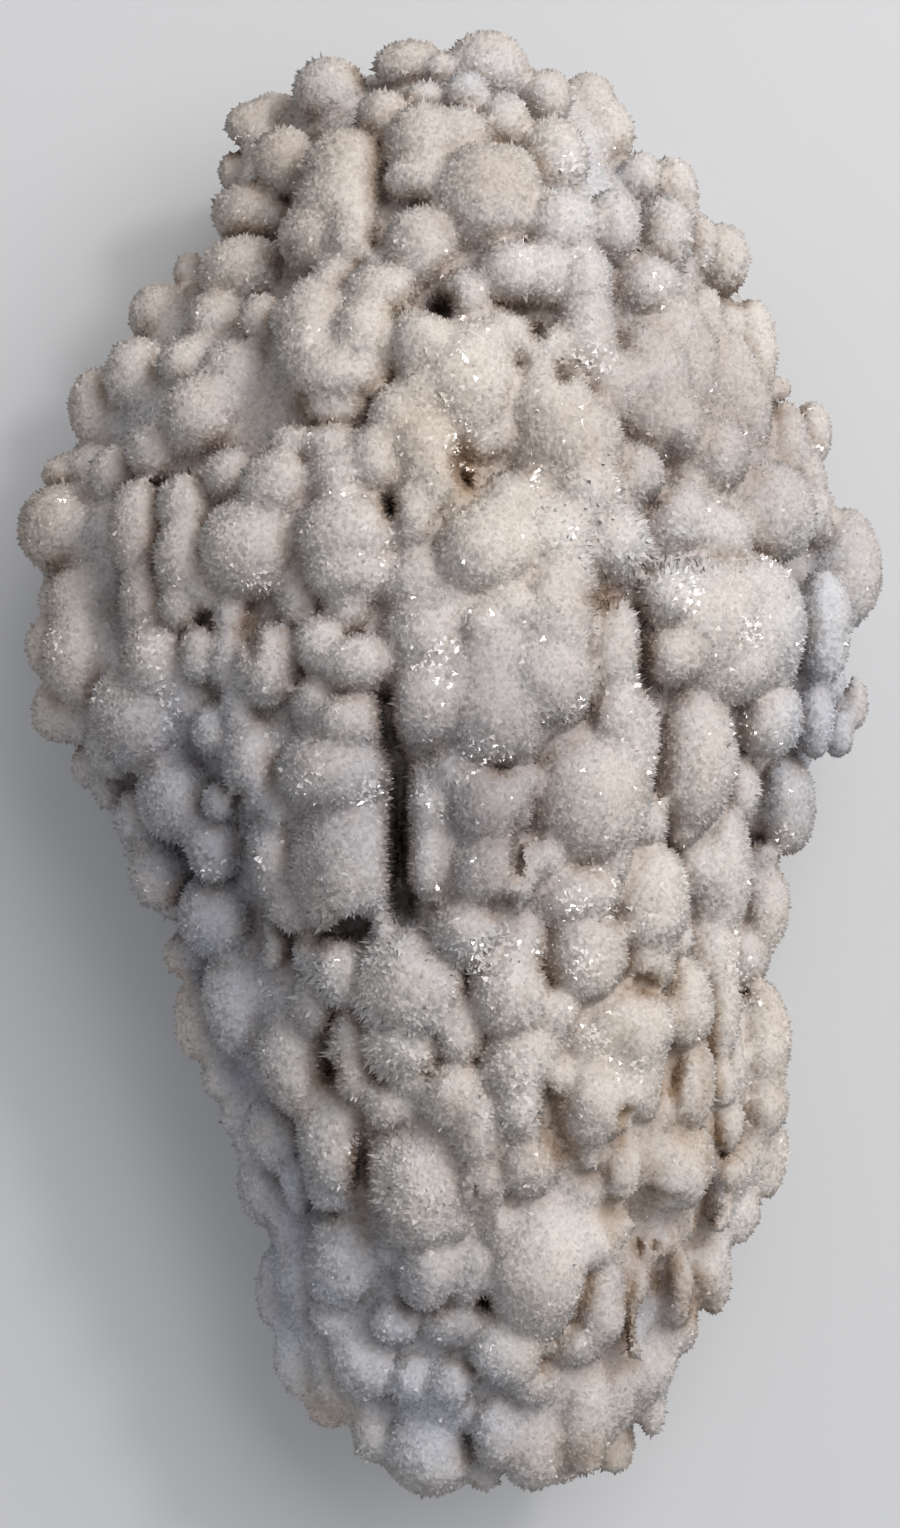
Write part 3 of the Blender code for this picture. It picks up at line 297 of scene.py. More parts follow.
        (18.6, -54.1, 1.5, 4.8, 1), (13.3, -63.6, 2.7, 5.8, 0), (17.1, -61.6, 1.8, 4, 1),
        (20, -62.1, 1.7, 4.8, 0.5), (8, -67.6, 3.2, 4.6, 0), (7.8, -61.4, 2.1, 2.4, 1.5),
        (12.7, -57.1, 2.9, 2.8, 1), (16.2, -68.1, 2.4, 2.6, 1), (11, -70.1, 2.4, 2.2, 1),
        (22.2, -51.4, 2.6, 4.2, 1.5), (26.2, -51.9, 1.7, 3.4, 0.5), (22.6, -56.1, 2.4, 2.4, 1),
        (1, -55.6, 3.4, 2.6, 3), (20.5, -47.6, 2.8, 2.4, 2),
    ),
}

# Deep gaps between the knobs: (x, y, half width across, half width along, depth under the crest surface)
GAPS = (
    (-0.7, 46.6, 0.8, 1.2, 10), (-3, 46.4, 0.3, 0.6, 3.8), (8.8, 44.2, 0.6, 1.2, 7),
    (7, 46.1, 0.5, 0.3, 4.5), (11.3, 39.2, 0.3, 0.5, 3), (-16.5, 48.9, 0.5, 2.5, 6),
    (-7.5, 52.9, 0.3, 0.8, 4.1), (-15, 35.9, 0.3, 1, 3), (-6, 25.9, 0.3, 0.7, 4.2),
    (0.5, 30.2, 0.3, 0.9, 3.8), (1.6, 28.6, 0.3, 0.8, 4.5), (22.2, 30.2, 0.3, 1.9, 3.8),
    (20.5, 26.6, 0.7, 0.3, 4.5), (15.5, 16.6, 0.9, 0.5, 4.5), (19.7, 9.9, 0.3, 1.9, 3.8),
    (20.5, 7.4, 0.7, 0.5, 3.8), (11, 3.6, 1.4, 0.3, 2.2), (5, -0.4, 1.1, 0.3, 3), (-6.4, 6.9, 0.4, 1.2, 7),
    (-6.2, 2.9, 0.4, 1.4, 6), (-5.2, -7.6, 0.9, 7.8, 13), (-4.5, -14.1, 1.2, 1.7, 11),
    (-10.5, -16.8, 1.4, 1.1, 8), (-9, -16.1, 0.8, 0.8, 8), (6.8, -8.6, 0.3, 3.1, 3.8),
    (5, -14.4, 1.1, 0.7, 3.8), (-20, 13.9, 0.5, 2.4, 4.5), (-33.5, 12.4, 0.3, 2.1, 3),
    (0.7, 12.4, 1, 3, 2.2), (2, 16.6, 2.2, 0.7, 2.2), (3.6, -54.6, 0.6, 0.7, 9), (-21, -4.1, 0.3, 1.4, 3.8),
    (-20.5, -11.6, 0.3, 1.8, 3), (-19.4, -16.6, 0.3, 1.9, 3.8), (-12, -31.4, 0.5, 0.8, 4.5),
    (9.5, -35.6, 0.3, 2.1, 3.4), (12, -39.1, 1.1, 0.5, 3), (19.5, -22.1, 0.8, 0.9, 3),
    (-8.8, -41.6, 0.3, 4.2, 3.4), (-7.2, -46.1, 0.5, 0.6, 3.4), (3.5, -48.6, 0.5, 3.8, 3),
    (-5.5, -59.8, 0.3, 0.6, 3.8), (9.5, -60.6, 0.5, 0.9, 3), (26.5, -43.6, 0.9, 1.6, 3.5),
    (24.7, -54.1, 0.7, 1.6, 2.2), (19.8, -49.4, 0.3, 1.1, 1.6), (20, -56.1, 0.5, 1.8, 2.2),
    (17.5, -48.6, 0.6, 1.4, 1.5), (17, -66.8, 0.8, 0.8, 2.2), (13, -69.8, 0.3, 0.5, 2.2),
    (2, -67.6, 0.3, 3, 3), (23, -36.8, 0.3, 0.8, 1.2), (18, -35.1, 0.5, 0.5, 1.2),
    (28.2, -29.6, 0.3, 0.9, 2.2), (29, 2.9, 0.3, 0.9, 2.6),
)

# How the knobs stand on the body
STEM = 7.0  # length of the neck that joins a knob to the body
NECK = 0.85  # neck thickness as a share of the knob
CORE_ENDS = (-58, 52)  # ends along Y of the line in the body that the necks point to
CORE_PULL = 0.92  # how much nearer to the middle they point than the knob lies
CORE_UNDER = 4.0  # how far that line lies under the rim
BLEND = 0.7  # width of the fillet where two knobs meet
SMOOTH = 1.3  # the same on the right shoulder, whose knobs ran together
FULL = 1.3  # knobs overlap, so each is larger than the part of it that shows
OUTER = 1.12  # the same for the knobs on the outline
OUTER_BAND = 6.0  # how near to the outline those lie across
OUTER_END = 64.0  # how far along Y the others reach
ROUND = 1.15  # a knob's height over its narrower half width, at most


def inward(x, y, place):
    """Direction from a knob to the middle of the body."""
    left, right, _ = station(y)
    first, last = CORE_ENDS
    inner = np.array(((left + right) / 2, max(first, min(last, y)) * CORE_PULL, RIM - CORE_UNDER))
    return (inner - place) / np.linalg.norm(inner - place)


# Small knobs fill the room left between the read ones, a little lower than they are
PLACES = 2.3  # spacing of the places that are tried for them
SHIFT = 0.9  # how far a place may lie off the even spacing
ROOM_ABOVE, ROOM_BELOW = 1.1, 0.35  # room that one needs on the upper half of the specimen and on the lower
LEAST, MOST = 1.5, 3.0  # their half width
INNER = 1.6  # how far they stay inside the outline
KEPT_OPEN = 0.8  # how far they stay clear of a gap
HALF_WIDE, HALF_LONG = 43, 71  # the stretch in which they are tried
ROOM_USED = (0.6, 1)  # share of the room that one takes
ACROSS, ALONG = (0.85, 1.1), (0.9, 1.3)  # its half widths over its size
SET_BACK = (1.4, 2.8)  # how far its tip lies under the crest surface


def small_knobs():
    """Rows like those of the read knobs."""
    rng = random.Random(5)
    rows = [row for group in KNOBS.values() for row in group]
    taken = np.array([row[:4] for row in rows])
    gaps = np.array([row[:4] for row in GAPS])
    found = []
    lines = np.arange(-HALF_WIDE, HALF_WIDE, PLACES)
    spots = [(x, y) for y in np.arange(-HALF_LONG, HALF_LONG, PLACES) for x in lines]
    rng.shuffle(spots)
    for x, y in spots:
        x, y = x + rng.uniform(-SHIFT, SHIFT), y + rng.uniform(-SHIFT, SHIFT)
        left, right, _ = station(y)
        room = np.linalg.norm((taken[:, :2] - (x, y)) / taken[:, 2:], axis=1) - 1
        room = (room * taken[:, 2:].min(axis=1)).min()
        hole = (np.linalg.norm((gaps[:, :2] - (x, y)) / (gaps[:, 2:] + KEPT_OPEN), axis=1)).min()
        if room < (ROOM_ABOVE if y > 0 else ROOM_BELOW) or hole < 1 or min(x - left, right - x) < INNER:
            continue
        size = min(MOST, LEAST + room * rng.uniform(*ROOM_USED))
        across, along = size * rng.uniform(*ACROSS), size * rng.uniform(*ALONG)
        found.append((x, y, across, along, rng.uniform(*SET_BACK)))
        taken = np.vstack([taken, found[-1][:4]])
    return found


def knobs_above():
    """Each knob seen from above, as (centre, radii, end of its neck, width of its fillet)."""
    found = []
    rows = [row for group in KNOBS.values() for row in group] + small_knobs()
    for x, y, across, along, drop in rows:
        blend = SMOOTH if (x, y, across, along, drop) in KNOBS["right shoulder"] else BLEND
        left, right, _ = station(y)
        outer = x < left + OUTER_BAND or x > right - OUTER_BAND or abs(y) > OUTER_END
        across, along = np.array((across, along)) * (OUTER if outer else FULL)
        up = min((3 * min(across, along) + max(across, along)) / 4, ROUND * min(across, along))
        place, share = true_place(x, y, crest(x, y) - up - drop)
        radii = (across * share, along * share, up)
        found.append((place, radii, place + inward(x, y, place) * (STEM + min(radii)), blend))
    return found


# Knobs on the undercut, which no view from above shows, in rows under the rim: (height, how far in, radius)
ROWS_UNDER = ((20, 0.6, 4.2), (13.6, 0.2, 4.6), (7.6, 1.4, 4.4), (2, 3.2, 4.2), (-2.4, 5.4, 3.8))
CLOSE = 1.6  # spacing of the knobs in a row, over their radius
AHEAD = 4.0  # reach along the outline over which its direction is taken
OFF_ROW, OFF_LEVEL = 0.22, 1.4  # how far a knob may lie off its place, over their spacing, and off its level
SIZES = (0.74, 1.2)  # a knob's radius over its row's
WIDTHS, HEIGHTS = (0.85, 1.1), (0.85, 1.15)  # its half widths and half height over that radius
RISE = 0.15  # how steeply its neck rises inwards


def knobs_below():
    """The knobs of those rows, in the form that knobs_above has."""
    rng = random.Random(11)
    left_side = [(row[1], row[0]) for row in STATIONS[::-1]]
    right_side = [(row[2], row[0]) for row in STATIONS]
    ring = np.array(left_side + right_side + left_side[:1], float)
    along = np.concatenate([[0], np.cumsum(np.linalg.norm(np.diff(ring, axis=0), axis=1))])

    def on_ring(at):
        return np.array([float(np.interp(at % along[-1], along, ring[:, k])) for k in (0, 1)])

    found = []
    for row, (level, inset, radius) in enumerate(ROWS_UNDER):
        count = int(along[-1] / (CLOSE * radius))
        for i in range(count):
            at = (i + row / 2 + rng.uniform(-OFF_ROW, OFF_ROW)) * along[-1] / count % along[-1]
            x, y = on_ring(at)
            dx, dy = on_ring(at + AHEAD) - on_ring(at - AHEAD)
            length = math.hypot(dx, dy)
            size = radius * rng.uniform(*SIZES)
            deep = inset + size
            z = level + rng.uniform(-OFF_LEVEL, OFF_LEVEL)
            place = np.array((x + dy / length * deep, y - dx / length * deep, z))
            radii = tuple(size * rng.uniform(*reach) for reach in (WIDTHS, WIDTHS, HEIGHTS))
            end = place + np.array((dy / length, -dx / length, RISE)) * (STEM + size)
            found.append((place, radii, end, BLEND))
    return found


def neck(points, a, b, radius):
    """Distance to a round bar from a to b."""
    ab = b - a
    t = np.clip((points - a) @ ab / (ab @ ab), 0, 1)
    return np.linalg.norm(points - a - t[..., None] * ab, axis=-1) - radius


def knob(points, centre, radii, end):
    """Distance to a knob with its neck."""
    return np.minimum(ellipsoid(points, centre, radii), neck(points, centre, end, NECK * min(radii)))


# The rim of the foot is whole, so crust fills the gaps between its knobs
RIM_BOX = ((-30, -76, 8), (40, -22, 26))  # corners of the room in which it lies
RIM_INSET = 1.7  # how far it stays inside the outline
RIM_UP, RIM_HALF = 1.0, 5.0  # how far its middle lies over the rim's level, and half its height
RIM_TOP = -24.0  # how far it reaches along Y
RIM_FILLET = 2.5


def foot_rim(points):
    """Distance to that filling."""
    x, y = seen_place(points)
    left, right, _ = station(y)
    sides = np.maximum(np.maximum(left - x, x - right), np.abs(y) - TIP_END) + RIM_INSET
    return np.maximum(np.maximum(sides, np.abs(points[..., 2] - RIM - RIM_UP) - RIM_HALF), y - RIM_TOP)


# The form is worked out as distances on a grid
STEP = 0.76  # spacing of the grid
LOW_CORNER, HIGH_CORNER = (-50, -80, -4), (50, 80, 58)
OUTSIDE = 8.0  # distance that fills the grid before anything is added
MARGIN = 3.0  # how far round a shape the grid is changed
CUT_LEVEL = -2.5  # level at which the field ends, under the flat cut at zero
BODY_FILLET, SWELL_FILLET = 3, 2
LOWER_HALF = np.array((1, 1, 0.1))  # how far up a half ellipse's room goes, which ends at the rim
SWELL_REACH = 14.0  # room over and under a swell's top in which the grid is changed


class Field:
    """Signed distance on a grid, negative inside, changed only round each shape that is added or cut."""

    def __init__(self, low, high, step):
        self.low, self.step = np.array(low, float), step
        self.shape = tuple(int(math.ceil((h - l) / step)) + 1 for l, h in zip(low, high))
        self.values = np.full(self.shape, OUTSIDE)

    def axis(self, k):
        """The grid's own places along one axis."""
        return self.low[k] + self.step * np.arange(self.shape[k])

    def block(self, low, high):
        start = [max(0, int((l - o) / self.step)) for l, o in zip(low, self.low)]
        stop = [min(n, int((h - o) / self.step) + 2) for h, o, n in zip(high, self.low, self.shape)]
        axes = [o + self.step * np.arange(a, b) for o, a, b in zip(self.low, start, stop)]
        points = np.stack(np.meshgrid(*axes, indexing="ij"), axis=-1)
        return tuple(slice(a, b) for a, b in zip(start, stop)), points

    def add(self, low, high, distance, blend):
        where, points = self.block(np.array(low) - MARGIN - blend, np.array(high) + MARGIN + blend)
        near, old = distance(points), self.values[where]
        h = np.maximum(blend - np.abs(old - near), 0) / blend
        self.values[where] = np.minimum(old, near) - h * h * blend / 4

    def cut(self, low, high, distance, blend):
        where, points = self.block(np.array(low) - MARGIN, np.array(high) + MARGIN)
        near, old = -distance(points), self.values[where]
        h = np.maximum(blend - np.abs(old - near), 0) / blend
        self.values[where] = np.maximum(old, near) + h * h * blend / 4

    def read(self, values, points):
        """Values on this grid, read at points between its own."""
        last = np.array(values.shape) - 1.001  # just inside the last cell
        at = np.clip((points - self.low) / self.step, 0, last)
        base = at.astype(int)
        part = at - base
        found = np.zeros(len(points))
        for corner in np.ndindex(2, 2, 2):
            weight = np.prod(np.where(corner, part, 1 - part), axis=1)
            found += weight * values[tuple((base + corner).T)]
        return found

    def uneven(self, spacing, seed, longer=1):
        """Smooth random values, about -1 to 1, with lumps the given spacing apart, and longer along Y."""
        rng = np.random.default_rng(seed)
        spaces = (spacing, spacing * longer, spacing)
        sides = [int(n * self.step / space) + 5 for n, space in zip(self.shape, spaces)]
        values = rng.normal(0, 1, sides)
        for axis, (n, side, space) in enumerate(zip(self.shape, sides, spaces)):
            at = np.arange(n) * self.step / space + 1
            near = np.abs(at[:, None] - np.arange(side)[None])
            inner = 2 / 3 - near**2 + near**3 / 2
            outer = np.clip(2 - near, 0, 2) ** 3 / 6
            weights = np.where(near < 1, inner, outer)  # of a cubic spline
            values = np.moveaxis(np.tensordot(weights, values, (1, axis)), 0, axis)
        return values / values.std() * 0.5


field = Field(LOW_CORNER, HIGH_CORNER, STEP)
field.add((-50, -80, 0), HIGH_CORNER, upper_body, BODY_FILLET)
for centre, radii in body_lumps():
    half = partial(under_rim, centre=centre, radii=radii)
    field.add(centre - radii, centre + radii * LOWER_HALF, half, BODY_FILLET)
for x, y, across, along, depth in SWELLS:
    place, _ = true_place(x, y, crest(x, y) - depth)
    reach = np.array((across, along, SWELL_REACH))
    dome = partial(swell, x=x, y=y, across=across, along=along, depth=depth)
    field.add(place - reach, place + reach, dome, SWELL_FILLET)
for centre, radii, end, blend in knobs_above() + knobs_below():
    reach, thick = np.array(radii), NECK * min(radii)
    low, high = np.minimum(centre - reach, end - thick), np.maximum(centre + reach, end + thick)
    field.add(low, high, partial(knob, centre=centre, radii=radii, end=end), blend)
for x, y, across, along, depth in GAPS:
    centre, share = true_place(x, y, crest(x, y))
    radii = np.array((across * share, along * share, depth))
    field.cut(centre - radii, centre + radii, partial(ellipsoid, centre=centre, radii=radii), BLEND)
field.values = np.maximum(field.values, CUT_LEVEL - field.axis(2))
field.add(*RIM_BOX, foot_rim, RIM_FILLET)

# The crust's skin lies a little under the solid's surface, to leave room for the druse on it. It is lumpy at the
# size of the crystals' own clusters, more so at the foot, and the worn part has pits drawn out into ridges.
COAT = 0.5
CLUSTER, CLUSTER_DEEP = 3.4, 0.42  # spacing and depth of the lumps
GRAIN, GRAIN_DEEP = 1.7, 0.28  # the same of the smaller ones on them
ROUGH_BAND, ROUGHNESS = (-40, 0), (1, 0.45)  # stretch along Y in which they get fainter
PIT, PIT_DEEP, PIT_LONG = 1.7, 1.2, 2.6  # spacing across, depth, and length over width
PIT_SHARE = 0.15  # raises the share of the worn surface that is pitted
WORN_DOWN = 0.1  # how far the whole worn surface is lowered

pits = PIT_DEEP * np.clip(field.uneven(PIT, 12, PIT_LONG) + PIT_SHARE, 0, 2) + WORN_DOWN
rough = np.interp(field.axis(1), ROUGH_BAND, ROUGHNESS)[None, :, None]
uncut = field.values + COAT + wear(field.axis(0)[:, None], field.axis(1)[None])[..., None] * pits
uncut = uncut + rough * (CLUSTER_DEEP * field.uneven(CLUSTER, 1) + GRAIN_DEEP * field.uneven(GRAIN, 2))
form = np.maximum(uncut, -field.axis(2))


def skin(values, low, step):
    """The zero surface as (vertices, quads): a vertex in each cell that it crosses, a quad on each grid edge."""
    cells = np.array(values.shape) - 1
    owners, cuts, flips = [], [], []
    for axis in range(3):
        first = np.moveaxis(values, axis, 0)
        crossed = (first[:-1] < 0) != (first[1:] < 0)
        at = np.moveaxis(np.argwhere(crossed), 1, 0)
        order = [axis] + [k for k in range(3) if k != axis]
        place = np.empty((at.shape[1], 3), int)
        place[:, order] = at.T
        sides = order[1:]
        place = place[((place[:, sides] > 0) & (place[:, sides] < cells[sides])).all(axis=1)]
        after = place.copy()
        after[:, axis] += 1
        a, b = values[tuple(place.T)], values[tuple(after.T)]
        cut = place.astype(float)
        cut[:, axis] += a / (a - b)
        four = np.repeat(place[:, None], 4, axis=1)
        four[:, 1, sides[0]] -= 1
        four[:, 2, sides] -= 1
        four[:, 3, sides[1]] -= 1
        owners.append(four)
        cuts.append(np.repeat(cut[:, None], 4, axis=1))
        flips.append((a < 0) == (axis == 1))
    owner, cut, flip = np.concatenate(owners), np.concatenate(cuts), np.concatenate(flips)
    index = np.ravel_multi_index(owner.reshape(-1, 3).T, cells)
    _, number = np.unique(index, return_inverse=True)
    number = number.reshape(-1)
    count = np.bincount(number)
    total = [np.bincount(number, cut.reshape(-1, 3)[:, k]) / count for k in range(3)]
    quads = number.reshape(-1, 4)
    quads[flip] = quads[flip][:, ::-1]
    return low + step * np.stack(total, axis=-1), quads


def largest_shell(vertices, quads):
    """Leaves out the walls of hollows sealed between the knobs."""
    label = np.arange(len(vertices))
    a, b = quads.ravel(), np.roll(quads, -1, axis=1).ravel()
    while True:
        lower = label.copy()
        least = np.minimum(label[a], label[b])
        np.minimum.at(lower, a, least)
        np.minimum.at(lower, b, least)
        lower = lower[lower]
        if (lower == label).all():
            break
        label = lower
    keep = label == np.bincount(label).argmax()
    renumber = np.cumsum(keep) - 1
    return vertices[keep], renumber[quads[keep[quads[:, 0]]]]


def new_mesh(name, points, faces, size):
    """A mesh of faces that all have the same number of corners, from points in millimetres."""
    mesh = bpy.data.meshes.new(name)
    mesh.vertices.add(len(points))
    mesh.vertices.foreach_set("co", np.ascontiguousarray(points * MM, np.float32).ravel())
    mesh.loops.add(faces.size)
    mesh.loops.foreach_set("vertex_index", faces.astype(np.int32).ravel())
    mesh.polygons.add(len(faces))
    mesh.polygons.foreach_set("loop_start", np.arange(0, faces.size, size, dtype=np.int32))
    mesh.update(calc_edges=True)
    ob = bpy.data.objects.new(name, mesh)
    bpy.context.scene.collection.objects.link(ob)
    return ob


vertices, quads = largest_shell(*skin(form, field.low, STEP))
tris = np.concatenate([quads[:, [0, 1, 2]], quads[:, [0, 2, 3]]])
corners = vertices[tris]
cross = np.cross(corners[:, 1] - corners[:, 0], corners[:, 2] - corners[:, 0])
area = np.linalg.norm(cross, axis=1) / 2
summed = [sum(np.bincount(tris[:, k], cross[:, c], len(vertices)) for k in range(3)) for c in range(3)]
normal = np.stack(summed, axis=1)
normal /= np.linalg.norm(normal, axis=1)[:, None] + 1e-9

crust = new_mesh("calcite_crust", vertices - MIDDLE, quads, 4)
crust.data.polygons.foreach_set("use_smooth", np.ones(len(quads), bool))
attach(crust, "root")
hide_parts("calcite")

# Colour of the calcite by place, as a tone from dark to light and a hue from lilac grey over cream to tan. It is
# dark and tan where the surface is closed in: the dark is painted shade in the creases, also deepening with depth
# under the crest, and the tan is partly the creases' own brown grey and partly painted warm shade. Some gaps are
# stained brown, and the tips of the knobs are cream, which is painted warm light on the lit tops.
# Painted shade: the tone is darker where other crust closes the surface in, and the deeper it lies under the crest
CLOSED_TONE, OPEN_TONE = 0.56, 0.22  # tone of a closed crease, and how much lighter an open surface is
DEPTH_TONE, DEPTH_FREE, DEPTH_MOST = 0.012, 2, 8  # darker by this for each millimetre of depth between these
# Cream tips are painted warm light on the lit tops; brown in creases is partly their own, partly painted warm
# shade
CLOSED_HUE, TIP_HUE, TIP_DEEP = 0.34, 0.2, 5  # browner in creases, and on tips down to this depth
# The base hue leans to the lilac grey, which is partly painted cool shade and bounce light
BASE_HUE = 0.28
# The worn part's pits: browner by its tan, and darker by painted shade where they are closed in
WORN_HUE, WORN_PIT_SHADE = 0.4, 0.15  # browner and darker in the pits of the worn part
CLOUD, CLOUD_TONE = 14, 0.09  # spacing and strength of the broad clouds of tone
PATCH, PATCH_TONE = 5, 0.06  # the same of the small ones
DRIFT, DRIFT_HUE = 18, 0.14  # the same of the changes in hue
SKY = 2.2  # how far out from the surface is looked for other crust that closes it in

# Stains, pale places and painted shade: (x, y, reach across, reach along, how much browner, how much darker). The
# rows that darken the right shoulder are painted shade on its lamp-lit side, and the lilac rows on the left and
# along the outer edges are partly the calcite's own grey and partly painted cool shade and bounce light.
STAINS_AND_PAINTED_SHADE = (
    (-3, 33, 5, 7, 0.22, 0.02), (5, 59, 4, 3, 0.22, 0.03), (10.5, 31, 6, 6, 0.08, 0.05),
    (-20, 62, 7, 6, 0.05, 0.03), (24, 40, 9, 12, 0.02, 0.14), (31, 30, 5, 8, -0.05, 0.1),
    (-33, 34, 6, 10, -0.2, 0), (-37, 20, 6, 9, -0.12, 0.03), (-32, 2, 9, 12, -0.2, 0.14),
    (-26, -8, 7, 9, -0.22, 0.2), (-10, -6, 6, 9, -0.12, 0.24), (3.7, -6, 5, 10, -0.1, 0.3),
    (5, 8, 8, 6, -0.14, 0.13), (20, -58, 6, 8, 0.02, 0.1), (-3, -24, 6, 7, -0.06, 0.06),
    (-19, -25, 7, 9, -0.24, 0.18), (-16, -40, 6, 9, -0.26, 0.04), (-11, -53, 8, 9, -0.28, 0),
    (-7, -64, 8, 7, -0.24, -0.02), (5, -64, 6, 7, -0.16, 0.02), (38, 3, 4, 9, -0.3, 0.04),
    (33, -4, 4, 7, -0.1, 0), (3, 69, 6, 3, -0.4, 0.02), (-12, 68, 5, 3, -0.2, 0), (39, 19, 4, 8, -0.2, 0),
    (18.5, -41.5, 4, 5, 0.1, 0.04), (22, -35, 3, 3, 0.1, 0.04), (27, -38, 3, 3, 0.15, 0.06),
    (19, -49.5, 3, 3, 0.08, 0.02), (9.5, -60.6, 2.5, 3, 0.25, 0.1), (24, -54, 3, 4, 0.18, 0.05),
    (15, -69, 5, 2.5, 0.3, 0.12), (-12, -65, 3, 2, 0.35, 0.1), (-12, -31.4, 2, 2, 0.4, 0.14),
    (-8.8, -42, 1.6, 5, 0.3, 0.12), (25.5, -54.6, 2, 2, 0.2, 0.06), (11, -38.6, 2.6, 2, 0.3, 0.14),
    (1.5, 28.6, 1.6, 2.4, 0.4, 0.16), (15.5, 16.6, 2, 1.6, 0.4, 0.16), (-15, 36, 1.6, 2, 0.4, 0.14),
    (-20, 14, 1.2, 3, 0.35, 0.12), (-25, -17.5, 2, 4, -0.3, 0.06), (26, -20, 6, 8, -0.05, -0.04),
    (14, -30, 5, 6, -0.05, 0), (20, -22, 3, 2, 0.2, 0.08), (-22, -30, 3, 20, -0.3, -0.05),
    (-17, -58, 3, 12, -0.3, -0.05), (36, 10, 5, 16, -0.2, -0.06), (22, -56, 7, 12, -0.14, 0),
    (-1, -68, 6, 4, -0.25, -0.03), (15, 57, 7, 7, -0.14, -0.03), (24, -44, 5, 6, -0.12, 0),
    (-4, -52, 6, 4, -0.1, 0.05),
)

cloud, patch, drift = field.uneven(CLOUD, 7), field.uneven(PATCH, 8), field.uneven(DRIFT, 9)


def shade(places, out):
    """Tone and hue at places on the crust whose surface faces out, with painted shade where it is closed in or
    deep.
    """
    open_sky = np.clip(field.read(form, places + SKY * out) / SKY, 0, 1)
    seen_x, seen_y = seen_place(places)
    depth = crest(seen_x, seen_y) - places[:, 2]
    deep = np.clip(depth - DEPTH_FREE, 0, DEPTH_MOST) * (places[:, 2] > RIM)
    # Painted shade: darker where other crust closes the surface in, and the deeper it lies under the crest
    tone = CLOSED_TONE + OPEN_TONE * open_sky - DEPTH_TONE * deep
    tone += CLOUD_TONE * field.read(cloud, places) + PATCH_TONE * field.read(patch, places)
    # Painted warm light on the tips, and brown in the creases that is partly painted warm shade
    tip = np.clip(1 - depth / TIP_DEEP, 0, 1)
    hue = BASE_HUE + TIP_HUE * tip + DRIFT_HUE * field.read(drift, places) + CLOSED_HUE * (1 - open_sky)
    # Painted shade darkens the closed-in pits of the worn part; their brown is the worn part's tan
    hidden = wear(seen_x, seen_y) * (1 - open_sky)
    hue += WORN_HUE * hidden
    tone -= WORN_PIT_SHADE * hidden
    # Stains, pale places, and painted shade and cool bounce light, by place
    for x, y, across, along, browner, darker in STAINS_AND_PAINTED_SHADE:
        near = np.exp(-(((seen_x - x) / across) ** 2 + ((seen_y - y) / along) ** 2))
        hue += browner * near
        tone -= darker * near
    return tone, hue


# The cut back shows the growth bands of the crust, each about as far from the outside as its neighbours
SAWN_LEVEL = 0.05  # what lies under this is the cut
BAND_WAVER = 0.8  # how far a band strays
WIDE_BAND, WIDE_TONE = 2.2, 0.1  # radians for each millimetre, and strength, of the wide bands of tone
THIN_BAND, THIN_TONE = 5.1, 0.06
HUE_BAND, HUE_SWING = 1.3, 0.14
SAWN_TONE, SAWN_HUE = 0.58, 0.55

tone, hue = shade(vertices, normal)
within = -field.read(uncut, vertices) + BAND_WAVER * field.read(cloud, vertices)
sawn = vertices[:, 2] < SAWN_LEVEL
bands = SAWN_TONE + WIDE_TONE * np.sin(WIDE_BAND * within) + THIN_TONE * np.sin(THIN_BAND * within)
tone = np.where(sawn, bands, tone)
hue = np.where(sawn, SAWN_HUE + HUE_SWING * np.sin(HUE_BAND * within), hue)
for name, values in (("tone", tone), ("hue", hue)):
    layer = crust.data.attributes.new(name, "FLOAT", "POINT")
    layer.data.foreach_set("value", np.clip(values, 0, 1).astype(np.float32))


def linear(code):
    """An sRGB hex colour as the linear colour a shader takes."""
    parts = [int(code[i : i + 2], 16) / 255 for i in (0, 2, 4)]
    return (*(c / 12.92 if c <= 0.04045 else ((c + 0.055) / 1.055) ** 2.4 for c in parts), 1)


def node(tree, kind, settings=(), **links):
    """Adds a node with its settings and links. A link is a socket, or a plain value for the node's own input."""
    made = tree.nodes.new(kind)
    for name, value in dict(settings).items():
        setattr(made, name, value)
    for name, value in links.items():
        key = int(name[1:]) if name[0] == "i" and name[1:].isdigit() else name.replace("_", " ")
        if isinstance(value, bpy.types.NodeSocket):
            tree.links.new(value, made.inputs[key])
        else:
            made.inputs[key].default_value = value
    return made


# Milky calcite is a pale carbonate whose tiny flaws scatter light, so it has soft shades and little gloss. Its two
# indices of refraction are 1.66 and 1.49, and 1.6 stands for both. Each ramp goes from dark to light.
CALCITE_IOR = 1.6
# The lilac grey is partly the calcite's own grey and partly painted cool shade and bounce light
LILAC = ("626066", "A5A4AB", "D9DAE0")
CREAM = ("6F5E54", "B2A59E", "E4DCD4")
TAN = ("4A3426", "A38A72", "D8C8B6")
MIDDLE_STOP, LIGHT_STOP = 0.45, 0.9


